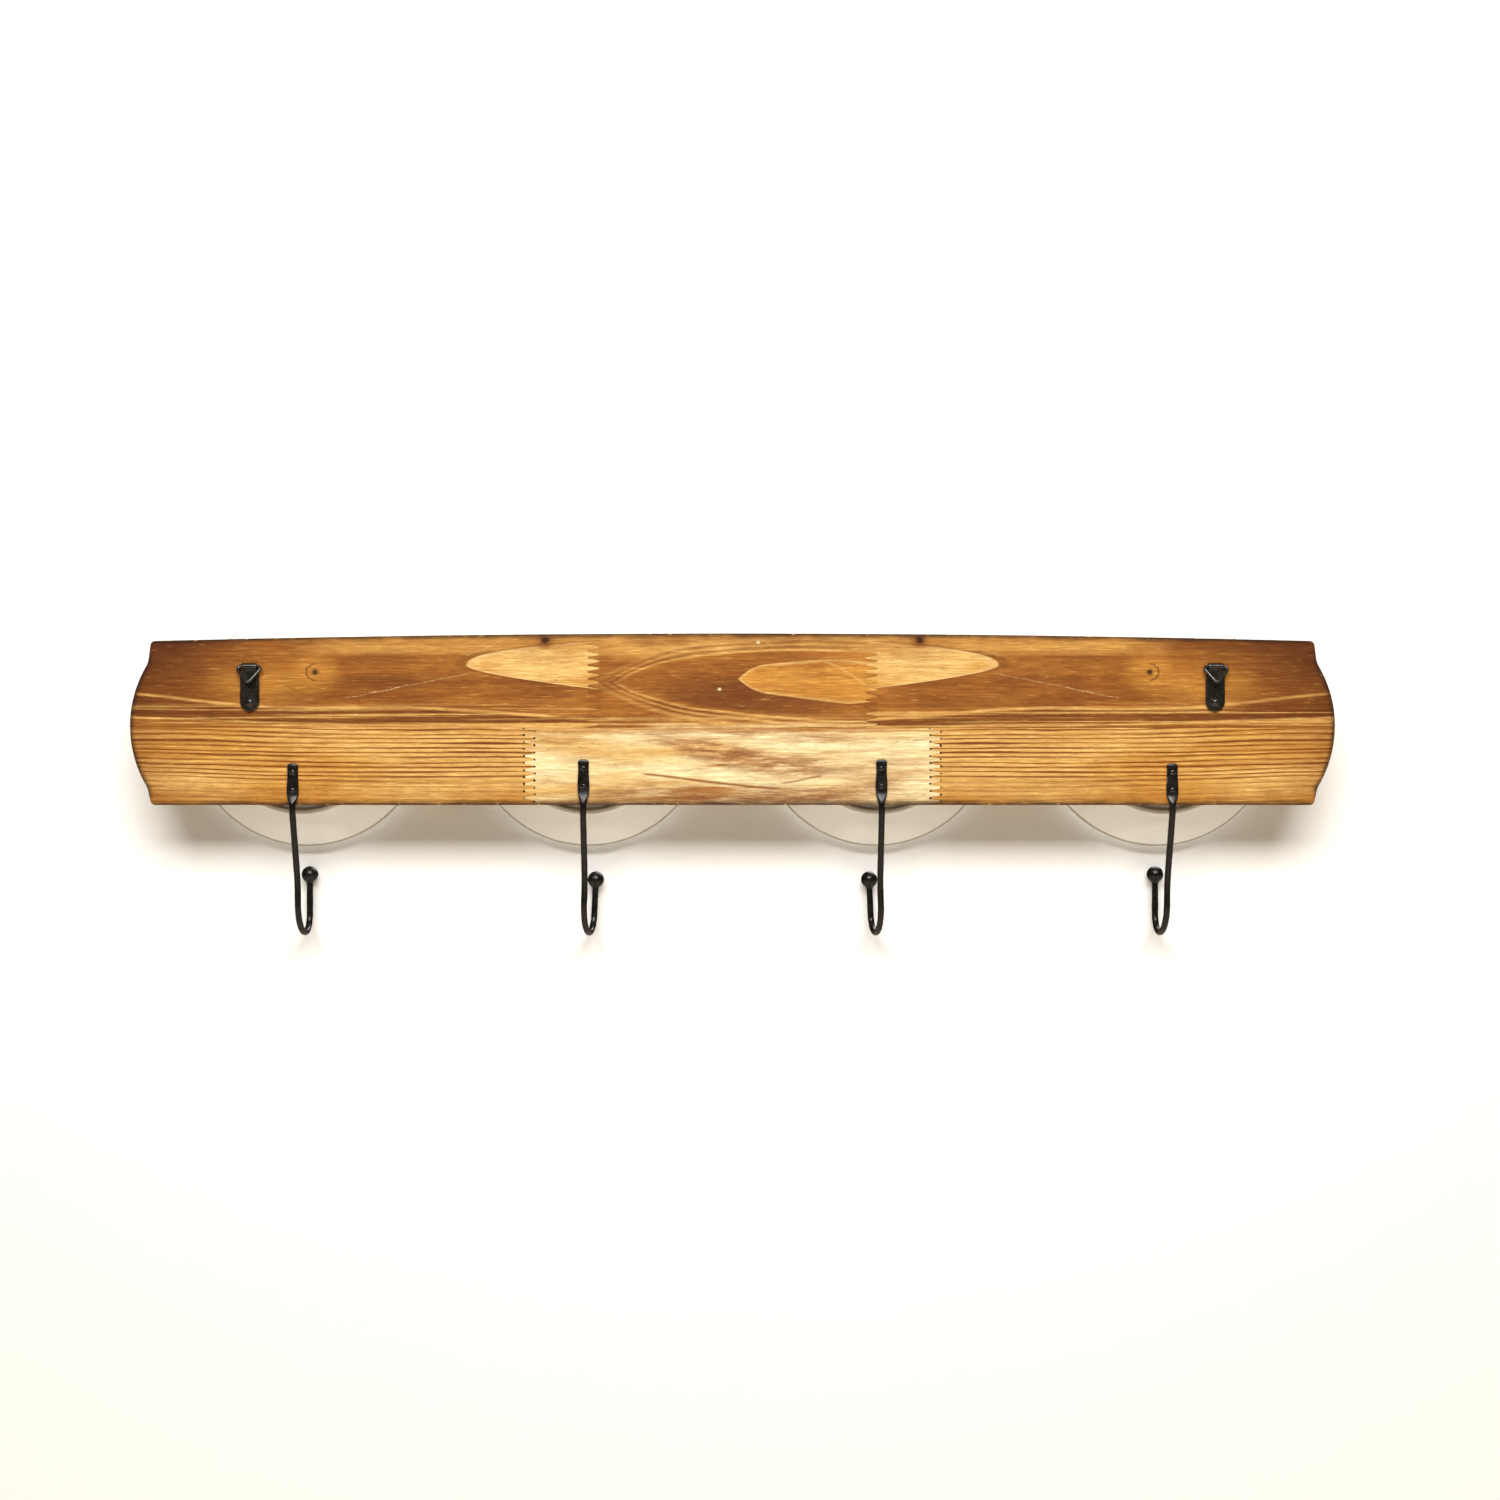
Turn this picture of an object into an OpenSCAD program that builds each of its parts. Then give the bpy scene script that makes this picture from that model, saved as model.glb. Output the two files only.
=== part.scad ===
// Wooden wall rack with four forged hooks, four glazed dishes on its front and two ring
// hangers on its back. +Z is up and +Y is the front of the rack, away from the wall.
// The origin is on the board's back face, half way along it and at the bulge of its ends.

/* [Board] */
// Length of the board from end to end
board_w = 611; // [500:1:760]
// Thickness of the board
board_t = 15; // [12:0.5:22]
// Height of the board above the origin at its middle
board_top = 44.4; // [42:0.2:50]
// How far the top edge rises from its ends to its middle
crown_rise = 3.8; // [1:0.1:6]
// Height of the straight lower edge, below the origin
board_bottom = 42.6; // [41:0.2:46]
// Height of the glue line between the two strips, below the origin
seam_drop = 3.5; // [0:0.5:8]
// Radius of the bulge at each end
bulge_r = 60; // [55:1:70]

/* [Finger joints] */
// Distance of the upper strip's joints from the middle
upper_joint_x = 70.5; // [40:0.5:90]
// Distance of the lower strip's joints from the middle
lower_joint_x = 103; // [95:0.5:130]
// Length of the fingers
finger_l = 5.8; // [4:0.2:10]
// Number of fingers across the lower strip
lower_fingers = 11; // [8:1:14]
// Width of a finger's blunt tip
finger_tip = 0.7; // [0.4:0.1:1]
// Gap left at each finger's tip
tip_gap = 0.5; // [0.2:0.1:1]

/* [Hooks] */
// Distance of the inner hooks from the middle
inner_hook_x = 75.5; // [70:0.5:85]
// Distance of the outer hooks from the middle
outer_hook_x = 222.8; // [200:0.5:232]
// Diameter of the hook wire
wire_d = 3.2; // [2.6:0.1:4]
// Width of the flattened top
plate_w = 6; // [5.5:0.1:8]
// Thickness of the flattened top
plate_t = 1.5; // [1:0.1:2]
// Height of the outer hooks' upper ends, below the origin
outer_top_drop = 21.5; // [20:0.5:23]
// Height of the inner hooks' upper ends, below the origin
inner_top_drop = 19.5; // [18:0.5:23]
// Length of the flattened top
plate_l = 15.5; // [14:0.5:16]
// Angle at which the leg leans forward
lean_angle = 17; // [10:0.5:20]
// Length of the straight part of the leg
leg_l = 28; // [24:0.5:34]
// Centreline radius of the hook's U behind its lowest point
throat_back_r = 17; // [12:0.5:20]
// Centreline radius of the hook's U in front of its lowest point
throat_front_r = 9; // [7:0.5:14]
// Length of the outer hooks' return leg, from the U to the ball's centre
outer_return_l = 20.5; // [14:0.5:26]
// Length of the inner hooks' return leg, from the U to the ball's centre
inner_return_l = 18; // [14:0.5:26]
// Diameter of the ball
ball_d = 8.6; // [7:0.2:11]
// Sideways tilt of the inner hooks
inner_tilt = 2.5; // [0:0.5:4]
// Twist of the inner hooks about the upright
inner_twist = 8; // [0:1:12]

/* [Dishes] */
// Outer radius of a dish's rim
rim_r = 62.5; // [60:0.5:68]
// Outer radius of the foot ring
foot_r = 45.5; // [43:0.5:47]
// Depth of a dish's centre below the origin
dish_drop = 2.7; // [0:0.1:4]
// Height of a dish, from foot ring to rim
dish_h = 20; // [16:0.5:26]
// Thickness of a dish's wall and floor
dish_t = 3.6; // [3:0.2:4]
// Depth of the recess inside the foot ring
foot_h = 2; // [1.6:0.2:3.6]
// Radius of the adhesive pad
bond_r = 32; // [20:1:36]

/* [Hangers] */
// Distance of each hanger from the middle
hanger_x = 244.5; // [200:0.5:250]
// Height of the hinge line of the rings
ring_hinge_z = 27.6; // [24:0.2:28]
// Width of the strap
strap_w = 9.5; // [9:0.1:10]
// Width of the strap's loop
loop_w = 7.4; // [7:0.1:7.6]
// Thickness of the strap's strip
strip_t = 0.8; // [0.6:0.1:0.9]
// Diameter of the ring's wire
ring_d = 1.8; // [1.6:0.1:2]
// Width of the ring across its two upper corners
ring_w = 12.8; // [12.4:0.1:14]
// Angle at which a hanging ring stands off the strap
ring_rest = 24; // [22:1:30]

/* [Screws] */
// Diameter of a hook screw's head
hook_head_d = 3.6; // [3:0.1:4]
// Diameter of a hook screw's shank
hook_shank_d = 2; // [1.6:0.1:2.2]
// Length of a screw in the wood
screw_l = 10; // [8:0.5:12]
// Diameter of a hanger screw's head
strap_head_d = 5; // [4:0.1:6]
// Diameter of a hanger screw's shank
strap_shank_d = 2.4; // [2:0.1:2.8]

/* [Hidden] */
$fn = 64;

seam_z = -seam_drop;
// Overlap between solids that are joined, and how far a cutter runs past a face
lap = 1;
bore_fn = 32;

// The end's outline: a bulge between two coves, and a small rounded corner beyond each cove.
bulge_z = -2.5;
bulge_half = 30;
cove_r = 12;
cove_end = 6;
corner_r = 2.4;
corner_inset = 3.2;
corner_undercut = 10;

finger_pitch = (board_bottom - seam_drop) / lower_fingers;
wire_r = wire_d / 2;
plate_top_z = [-outer_top_drop, -inner_top_drop, -inner_top_drop, -outer_top_drop];
upper_screw_drop = 4.4;
screw_pitch = 9;
function screw_z(i) = [for (row = [0, 1]) plate_top_z[i] - upper_screw_drop - row * screw_pitch];
hook_x = [-outer_hook_x, -inner_hook_x, inner_hook_x, outer_hook_x];
hook_tilt = [0, inner_tilt, -inner_tilt, 0];
hook_twist = [0, -inner_twist, inner_twist, 0];
return_l = [outer_return_l, inner_return_l, inner_return_l, outer_return_l];
// Bends of the leg: out from behind the board, and back to the upright
out_bend_r = 20;
back_bend_r = 60;
ring_r = ring_d / 2;
ring_play = 0.06;
loop_r = ring_r + ring_play;
loop_out_r = loop_r + strip_t;
strap_bottom_z = 4.8;
strap_screw_z = 9.4;
// How far below the hinge line the strap narrows to its loop
loop_neck = 3;

WOOD = "#b3793f";
WOOD_LIGHT = "#d9a862";
BLACK = "#1b1a18";
GLAZE = "#eeebe2";
PAD = "#8d8f8c";

// ---- outline of the board ----

function arc(cx, cz, r, from, to, steps) =
    [for (i = [0 : steps]) let (a = from + (to - from) * i / steps) [cx + r * cos(a), cz + r * sin(a)]];
function mirrored(points) = [for (i = [len(points) - 1 : -1 : 0]) [-points[i][0], points[i][1]]];

bulge_cx = -board_w / 2 + bulge_r;
cove_dist = bulge_r + cove_r;
cove_dx = cove_dist * cos(bulge_half);
cove_dz = cove_dist * sin(bulge_half);
neck_x = bulge_cx - cove_dx + cove_r * cos(cove_end);
corner_x = neck_x + corner_inset;
corner_top = board_top - crown_rise;

// Left end from the bottom corner up: rounded corner, cove, bulge, cove, rounded corner.
end_points = concat(
    arc(corner_x, -board_bottom + corner_r, corner_r, 270, 180 + corner_undercut, 6),
    arc(bulge_cx - cove_dx, bulge_z - cove_dz, cove_r, cove_end, bulge_half, 5),
    arc(bulge_cx, bulge_z, bulge_r, 180 + bulge_half, 180 - bulge_half, 24),
    arc(bulge_cx - cove_dx, bulge_z + cove_dz, cove_r, -bulge_half, -cove_end, 5),
    arc(corner_x, corner_top - corner_r, corner_r, 180 - corner_undercut, 90, 6));

crown_steps = 24;
crown_points = [for (i = [1 : crown_steps - 1])
    let (t = 2 * i / crown_steps - 1) [-corner_x * t, board_top - crown_rise * t * t]];
outline = concat(end_points, mirrored(crown_points), mirrored(end_points));

module board_outline() {
    polygon(outline);
}

// ---- finger joints ----

root_half = finger_pitch / 2 - finger_tip / 2;
tip_half = finger_tip / 2 + tip_gap * (root_half - finger_tip / 2) / finger_l;

// Zigzag edge going up from z0: root_x is the foot of the fingers and tip_x their ends.
function fingers(root_x, tip_x, z0, first, count) =
    [for (i = [0 : count - 1]) let (z = z0 + (i + first) * finger_pitch)
        each [[root_x, z - root_half], [tip_x, z - tip_half],
            [tip_x, z + tip_half], [root_x, z + root_half]]];

function right_edge(x, z0, count) =
    fingers(x - finger_l / 2, x + finger_l / 2 - tip_gap, z0, 0.5, count);
function left_edge(x, z0, count) =
    fingers(x + finger_l / 2, x - finger_l / 2 + tip_gap, z0, 0, count + 1);
function turned(points) = [for (i = [len(points) - 1 : -1 : 0]) points[i]];

far = board_w;
module strip_band(z0, z1) {
    translate([-far, z0]) square([2 * far, z1 - z0]);
}

// One length of a strip between z0 and z1. A joint at undef means that the length runs to the end.
module length_region(z0, z1, joint_left, joint_right, count) {
    low = z0 - finger_pitch;
    high = z0 + (count + 1) * finger_pitch;
    left_side = is_undef(joint_left) ? [[-far, high], [-far, low]]
        : concat([[joint_left + finger_l / 2, high]], turned(left_edge(joint_left, z0, count)),
            [[joint_left + finger_l / 2, low]]);
    right_side = is_undef(joint_right) ? [[far, low], [far, high]]
        : concat([[joint_right - finger_l / 2, low]], right_edge(joint_right, z0, count),
            [[joint_right - finger_l / 2, high]]);
    intersection() {
        board_outline();
        strip_band(z0, z1);
        polygon(concat(right_side, left_side));
    }
}

// Stands an outline drawn in X and Z upright, with its back face at y = 0.
module upright(depth) {
    translate([0, depth, 0]) rotate([90, 0, 0]) linear_extrude(depth) children();
}

module upper_length(joint_left, joint_right) {
    count = ceil((board_top + seam_drop) / finger_pitch);
    color(WOOD) difference() {
        upright(board_t) length_region(seam_z, board_top + lap, joint_left, joint_right, count);
        for (side = [-1, 1]) screw_bore(side * hanger_x, strap_screw_z, strap_shank_d);
    }
}

module lower_length(joint_left, joint_right) {
    color(WOOD_LIGHT) difference() {
        upright(board_t) length_region(-board_bottom, seam_z, joint_left, joint_right, lower_fingers);
        for (i = [0 : 3])
            for (z = screw_z(i)) screw_bore(hook_x[i], z, hook_shank_d);
    }
}

module screw_bore(x, z, d) {
    translate([x, -lap, z]) rotate([-90, 0, 0]) cylinder(h = screw_l + lap, d = d, $fn = bore_fn);
}

module upper_left() { upper_length(undef, -upper_joint_x); }
module upper_middle() { upper_length(-upper_joint_x, upper_joint_x); }
module upper_right() { upper_length(upper_joint_x, undef); }
module lower_left() { lower_length(undef, -lower_joint_x); }
module lower_middle() { lower_length(-lower_joint_x, lower_joint_x); }
module lower_right() { lower_length(lower_joint_x, undef); }

// ---- hooks ----

// Places what sits on a hook's leg: the leg starts behind the board's lower edge.
leg_start_z = -board_bottom;
module at_hook(i) {
    translate([hook_x[i], -wire_r, leg_start_z])
        rotate([0, hook_tilt[i], 0])
            rotate([0, 0, hook_twist[i]]) children();
}

// The same turn for one point.
function leg_turn(p, i) = let (
    x = p[0] * cos(hook_twist[i]) - p[1] * sin(hook_twist[i]),
    y = p[0] * sin(hook_twist[i]) + p[1] * cos(hook_twist[i]))
    [x * cos(hook_tilt[i]) + p[2] * sin(hook_tilt[i]), y, p[2] * cos(hook_tilt[i]) - x * sin(hook_tilt[i])];

// Section of the hook: a rounded rectangle, which is a circle where all three sizes are equal.
section_sides = 16;
function section(half_w, half_t, corner) = [for (side = [0 : section_sides - 1])
    let (a = 360 * (side + 0.5) / section_sides, sx = sign(cos(a)), sy = sign(sin(a)))
    [sx * (half_w - corner) + corner * cos(a), sy * (half_t - corner) + corner * sin(a)]];

// A ring of points round [forward, height], square to a heading that leans forward by lean.
function ring_at(at, lean, outline) = [for (p = outline)
    [p[0], at[0] + p[1] * cos(lean), at[1] + p[1] * sin(lean)]];

// Solid through rings that all have the same number of points.
module skin(rings) {
    sides = len(rings[0]);
    last = len(rings) - 1;
    polyhedron(
        points = [for (ring = rings) each ring],
        faces = concat(
            [[for (k = [sides - 1 : -1 : 0]) k]],
            [for (j = [0 : last - 1]) for (k = [0 : sides - 1])
                [j * sides + k, (j + 1) * sides + (k + 1) % sides, (j + 1) * sides + k]],
            [for (j = [0 : last - 1]) for (k = [0 : sides - 1])
                [j * sides + k, j * sides + (k + 1) % sides, (j + 1) * sides + (k + 1) % sides]],
            [[for (k = [0 : sides - 1]) last * sides + k]]));
}

// Centreline of the leg, as [forward, height] from its start.
out_end = out_bend_r * [1 - cos(lean_angle), -sin(lean_angle)];
line_end = out_end + leg_l * [sin(lean_angle), -cos(lean_angle)];
back_end = line_end + back_bend_r * [1 - cos(lean_angle), -sin(lean_angle)];
lowest = back_end + throat_back_r * [1, -1];
return_start = lowest + throat_front_r * [1, 1];
function ball_at(i) = return_start + [0, return_l[i]];
// How far the wire reaches up into the ball, from the ball's underside
ball_bore = 4.5;
wire_section = section(wire_r, wire_r, wire_r);
bend_steps = 3;
u_steps = 9;

function leg_rings(i) = concat(
    [for (k = [0 : bend_steps]) let (a = lean_angle * k / bend_steps)
        ring_at(out_bend_r * [1 - cos(a), -sin(a)], a, wire_section)],
    [for (k = [bend_steps : -1 : 1]) let (a = lean_angle * k / bend_steps)
        ring_at(line_end + back_bend_r * [cos(a) - cos(lean_angle), sin(a) - sin(lean_angle)], a,
            wire_section)],
    [for (k = [0 : u_steps]) let (a = 90 * k / u_steps)
        ring_at(back_end + throat_back_r * [1 - cos(a), -sin(a)], a, wire_section)],
    [for (k = [1 : u_steps]) let (a = 90 * k / u_steps)
        ring_at(lowest + throat_front_r * [sin(a), 1 - cos(a)], 90 + a, wire_section)],
    [ring_at(ball_at(i) + [0, ball_bore - ball_d / 2], 180, wire_section)]);

// Flattened top, from its chamfered end down to where it is drawn into the round wire.
plate_chamfer = 1.2;
plate_corner = 0.4;
// Where the waist lies, as a share of the way from the board's edge to the plate
waist_height = 0.4;
waist_forward = 0.5;
plate_y = wire_r - plate_t / 2;
plate_end = section(plate_w / 2 - plate_chamfer, plate_t / 2, plate_corner);
plate_flat = section(plate_w / 2, plate_t / 2, plate_corner);
plate_waist = section((plate_w / 2 + wire_r) / 2, (plate_t / 2 + wire_r) / 2, (plate_corner + wire_r) / 2);
function from_leg(z) = z - leg_start_z;
function top_rings(i) = let (plate_bottom_z = plate_top_z[i] - plate_l) [
    ring_at([plate_y, from_leg(plate_top_z[i])], 0, plate_end),
    ring_at([plate_y, from_leg(plate_top_z[i] - plate_chamfer)], 0, plate_flat),
    ring_at([plate_y, from_leg(plate_bottom_z)], 0, plate_flat),
    ring_at([plate_y * waist_forward, from_leg(plate_bottom_z) * waist_height], 0, plate_waist)];

module hook_wire(i) {
    legs = [for (ring = leg_rings(i)) [for (p = ring) leg_turn(p, i)]];
    color(BLACK) translate([hook_x[i], 0, 0]) difference() {
        translate([0, -wire_r, leg_start_z]) skin(concat(top_rings(i), legs));
        for (z = screw_z(i))
            translate([0, -plate_t - lap, z]) rotate([-90, 0, 0])
                cylinder(h = plate_t + 2 * lap, d = hook_shank_d, $fn = bore_fn);
    }
}

module hook_ball(i) {
    color(BLACK) at_hook(i) translate([0, ball_at(i)[0], ball_at(i)[1]]) difference() {
        sphere(d = ball_d);
        translate([0, 0, -ball_d]) cylinder(h = ball_d / 2 + ball_bore, d = wire_d);
    }
}

// Dome-head screw pointing along +Y, with the underside of its head at the origin.
module dome_screw(head_d, head_h, shank_d, length) {
    cap_r = (head_d * head_d / 4 + head_h * head_h) / (2 * head_h);
    rotate([-90, 0, 0]) {
        cylinder(h = length, d = shank_d, $fn = bore_fn);
        intersection() {
            translate([0, 0, cap_r - head_h]) sphere(r = cap_r);
            translate([0, 0, -head_h]) cylinder(h = head_h, d = head_d);
        }
    }
}

hook_head_h = 1.1;
module hook_screws(i) {
    color(BLACK)
        for (z = screw_z(i))
            translate([hook_x[i], -plate_t, z])
                dome_screw(hook_head_d, hook_head_h, hook_shank_d, plate_t + screw_l);
}

module hook_wire_1() { hook_wire(0); }
module hook_wire_2() { hook_wire(1); }
module hook_wire_3() { hook_wire(2); }
module hook_wire_4() { hook_wire(3); }
module hook_ball_1() { hook_ball(0); }
module hook_ball_2() { hook_ball(1); }
module hook_ball_3() { hook_ball(2); }
module hook_ball_4() { hook_ball(3); }
module hook_screws_1() { hook_screws(0); }
module hook_screws_2() { hook_screws(1); }
module hook_screws_3() { hook_screws(2); }
module hook_screws_4() { hook_screws(3); }

// ---- dishes ----

foot_w = 3;
foot_taper = 0.6;
// How far the floor's edge lies inside the foot ring
floor_inset = 1.2;
lip_r = dish_t / 2;

// Half section of a dish, as radius and height from the face it stands on.
module dish_section() {
    polygon([[0, foot_h], [foot_r - foot_w, foot_h],
        [foot_r - foot_w + foot_taper, 0], [foot_r - foot_taper, 0],
        [foot_r, foot_h - foot_taper], [rim_r, dish_h - lip_r], [rim_r - dish_t, dish_h - lip_r],
        [foot_r - floor_inset, foot_h + dish_t], [0, foot_h + dish_t]]);
    translate([rim_r - lip_r, dish_h - lip_r]) circle(r = lip_r, $fn = bore_fn);
}

module on_front(i) {
    translate([hook_x[i], board_t, -dish_drop]) rotate([-90, 0, 0]) children();
}

module dish(i) {
    color(GLAZE) on_front(i) rotate_extrude($fn = 128) dish_section();
}

module dish_bond(i) {
    color(PAD) on_front(i) cylinder(h = foot_h, r = bond_r);
}

module dish_1() { dish(0); }
module dish_2() { dish(1); }
module dish_3() { dish(2); }
module dish_4() { dish(3); }
module dish_bond_1() { dish_bond(0); }
module dish_bond_2() { dish_bond(1); }
module dish_bond_3() { dish_bond(2); }
module dish_bond_4() { dish_bond(3); }

// ---- hangers ----

hinge_y = -loop_out_r;

// Strap: two layers of strip, rounded at the foot, folded round the ring's bar at the top.
module hanger_strap(x) {
    body_top = ring_hinge_z - loop_neck;
    color(BLACK) translate([x, 0, 0]) difference() {
        union() {
            translate([0, -2 * strip_t, 0]) upright(2 * strip_t) {
                translate([0, strap_bottom_z + strap_w / 2]) circle(d = strap_w);
                translate([-strap_w / 2, strap_bottom_z + strap_w / 2])
                    square([strap_w, body_top - strap_bottom_z - strap_w / 2]);
                translate([-loop_w / 2, body_top - lap]) square([loop_w, loop_neck + lap]);
            }
            translate([-loop_w / 2, hinge_y, ring_hinge_z]) rotate([0, 90, 0])
                cylinder(h = loop_w, r = loop_out_r);
        }
        translate([-loop_w, hinge_y, ring_hinge_z]) rotate([0, 90, 0])
            cylinder(h = 2 * loop_w, r = loop_r);
        translate([0, -2 * strip_t - lap, strap_screw_z]) rotate([-90, 0, 0])
            cylinder(h = 2 * (strip_t + lap), d = strap_shank_d, $fn = bore_fn);
    }
}

// Triangular ring, drawn hanging straight down from its bar, then leant off the strap.
corner_bend = 1.5;
side_x = ring_w / 2 - ring_r;
apex_bend = 1.6;
apex_drop = 8.6;
bar_half = side_x - corner_bend;
// Angle of a side from the vertical, from the corner's centre to the apex's centre.
apex_cz = -(apex_drop - apex_bend);
side_dz = -corner_bend - apex_cz;
side_len = sqrt(bar_half * bar_half + side_dz * side_dz);
// Both bends lie on the same side of the straight run, so it slopes with their centres.
side_lean = atan2(bar_half, side_dz) - asin((apex_bend - corner_bend) / side_len);

// Centreline of the right half as [across, height], with the direction it heads in, in degrees down
// from straight across.
ring_lap = 0.5;
corner_steps = 6;
half_path = concat(
    [[bar_half - ring_lap, 0, 0]],
    [for (k = [0 : corner_steps]) let (a = (90 + side_lean) * k / corner_steps)
        [bar_half + corner_bend * sin(a), corner_bend * cos(a) - corner_bend, a]],
    [for (k = [0 : corner_steps]) let (a = 90 + side_lean + (90 - side_lean) * k / corner_steps)
        [apex_bend * sin(a), apex_cz + apex_bend * cos(a), a]]);
// The other half mirrors it; the lowest point is shared.
whole_path = concat(half_path,
    [for (k = [len(half_path) - 2 : -1 : 0]) let (p = half_path[k]) [-p[0], p[1], 360 - p[2]]]);
// The bent wire starts inside the bar, so it is a hair thinner than the bar there.
bent_r = ring_r * 0.985;
ring_outline = section(bent_r, bent_r, bent_r);
ring_rings = [for (p = whole_path) [for (q = ring_outline)
    [p[0] + q[0] * sin(p[2]), q[1], p[1] + q[0] * cos(p[2])]]];

module hanger_ring(x) {
    color(BLACK) translate([x, hinge_y, ring_hinge_z]) rotate([-ring_rest, 0, 0]) union() {
        translate([-bar_half, 0, 0]) rotate([0, 90, 0]) cylinder(h = 2 * bar_half, r = ring_r);
        skin(ring_rings);
    }
}

strap_head_h = 1.5;
module hanger_screw(x) {
    color(BLACK) translate([x, -2 * strip_t, strap_screw_z])
        dome_screw(strap_head_d, strap_head_h, strap_shank_d, 2 * strip_t + screw_l);
}

module hanger_strap_left() { hanger_strap(-hanger_x); }
module hanger_strap_right() { hanger_strap(hanger_x); }
module hanger_ring_left() { hanger_ring(-hanger_x); }
module hanger_ring_right() { hanger_ring(hanger_x); }
module hanger_screw_left() { hanger_screw(-hanger_x); }
module hanger_screw_right() { hanger_screw(hanger_x); }

upper_left();
upper_middle();
upper_right();
lower_left();
lower_middle();
lower_right();
hook_wire_1();
hook_wire_2();
hook_wire_3();
hook_wire_4();
hook_ball_1();
hook_ball_2();
hook_ball_3();
hook_ball_4();
hook_screws_1();
hook_screws_2();
hook_screws_3();
hook_screws_4();
dish_1();
dish_2();
dish_3();
dish_4();
dish_bond_1();
dish_bond_2();
dish_bond_3();
dish_bond_4();
hanger_strap_left();
hanger_strap_right();
hanger_ring_left();
hanger_ring_right();
hanger_screw_left();
hanger_screw_right();
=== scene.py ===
import math

import bmesh
import bpy
from bpy.props import FloatProperty, FloatVectorProperty, IntProperty, PointerProperty
from mathutils import Matrix, Vector, noise


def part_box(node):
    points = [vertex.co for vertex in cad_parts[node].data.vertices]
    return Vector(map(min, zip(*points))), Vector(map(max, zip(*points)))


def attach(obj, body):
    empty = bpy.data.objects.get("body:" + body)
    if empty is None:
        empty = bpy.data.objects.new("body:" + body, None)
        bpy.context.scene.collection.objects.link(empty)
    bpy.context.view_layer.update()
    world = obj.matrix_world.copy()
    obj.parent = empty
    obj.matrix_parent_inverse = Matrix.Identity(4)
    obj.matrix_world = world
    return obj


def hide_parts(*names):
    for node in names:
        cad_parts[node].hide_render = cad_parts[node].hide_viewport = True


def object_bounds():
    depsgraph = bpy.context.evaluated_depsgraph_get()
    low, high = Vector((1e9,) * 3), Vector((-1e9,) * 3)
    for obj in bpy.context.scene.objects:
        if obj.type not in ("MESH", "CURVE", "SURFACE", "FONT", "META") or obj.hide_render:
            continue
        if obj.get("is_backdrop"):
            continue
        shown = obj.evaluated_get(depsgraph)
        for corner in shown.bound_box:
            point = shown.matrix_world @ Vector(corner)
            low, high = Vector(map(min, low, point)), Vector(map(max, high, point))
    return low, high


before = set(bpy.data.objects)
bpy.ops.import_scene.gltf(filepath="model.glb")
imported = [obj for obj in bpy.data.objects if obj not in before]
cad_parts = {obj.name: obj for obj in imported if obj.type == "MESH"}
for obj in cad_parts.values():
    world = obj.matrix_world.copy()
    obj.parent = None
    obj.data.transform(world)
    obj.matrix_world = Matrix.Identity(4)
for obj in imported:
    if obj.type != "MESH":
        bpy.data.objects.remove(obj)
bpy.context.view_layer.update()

bl_info = {
    "name": "Wall Hook Rack",
    "version": (1, 0, 0),
    "blender": (4, 5, 0),
    "location": "View3D > Sidebar > Hook Rack",
    "description": "Builds the visible pieces of a finger-jointed wooden hook rack with glazed dishes",
    "category": "Add Mesh",
}

MM = 0.001
BODY = "rack"
SIDES = ("left", "right")
HOOKS = (1, 2, 3, 4)


def corners(node):
    """Lowest and highest corner of a CAD node, as two vectors."""
    low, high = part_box(node)
    return Vector(low), Vector(high)


def middle(node):
    """Middle of a CAD node's box."""
    low, high = corners(node)
    return (low + high) / 2


BOARD_TOP = corners("upper_middle")[1].z
BOARD_BOTTOM = corners("lower_middle")[0].z
BOARD_FRONT = corners("lower_middle")[1].y
BOARD_END = corners("lower_right")[1].x
SEAM = corners("lower_middle")[1].z
# The board's outline: how high its top edge is arched, the round bulge at each end,
# and how far the ears above and below the bulge stand back from its end
CROWN = 3.8 * MM
BULGE_R = 60 * MM
BULGE_Z = -2.5 * MM
EAR_BACK = 9.0 * MM
UPPER_JOINT = 70.5 * MM
LOWER_JOINT = 103 * MM


# ---- sizes and colours that a user would change ----


def colour(name, description, value):
    """A colour property, given in linear light."""
    return FloatVectorProperty(name=name, description=description, subtype="COLOR", size=3,
                               min=0.0, max=1.0, default=value)


def length(name, description, value):
    """A length property in metres."""
    return FloatProperty(name=name, description=description, default=value, unit="LENGTH",
                         subtype="DISTANCE")


class RackWood(bpy.types.PropertyGroup):
    """Looks of the board."""

    edge_round: length("Edge rounding", "Radius of the board's sanded edges", 0.8 * MM)
    # How far in from the outline the board is darkened.
    dark_edge_reach: length("Dark edge", "How far the dark stain reaches in from the edges", 3.2 * MM)
    # Near-black brown, laid along the board's edges, on knot cores and at finger tips.
    near_black: colour("Near black", "Stain along the edges", (0.018, 0.006, 0.002))
    umber: colour("Umber", "Darkest wood on the face", (0.115, 0.032, 0.004))
    brown: colour("Brown", "Main colour of the upper strip", (0.240, 0.076, 0.009))
    tan: colour("Tan", "Lighter brown of the upper strip", (0.370, 0.142, 0.020))
    gold: colour("Gold", "Main colour of the lower strip's ends", (0.560, 0.265, 0.045))
    straw: colour("Straw", "Light grain lines and tongues", (0.730, 0.480, 0.165))
    smoke: colour("Smoke", "Brown haze on the palest wood", (0.270, 0.120, 0.038))
    cream: colour("Cream", "Palest wood, in the middle of the lower strip", (0.815, 0.690, 0.400))


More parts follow.
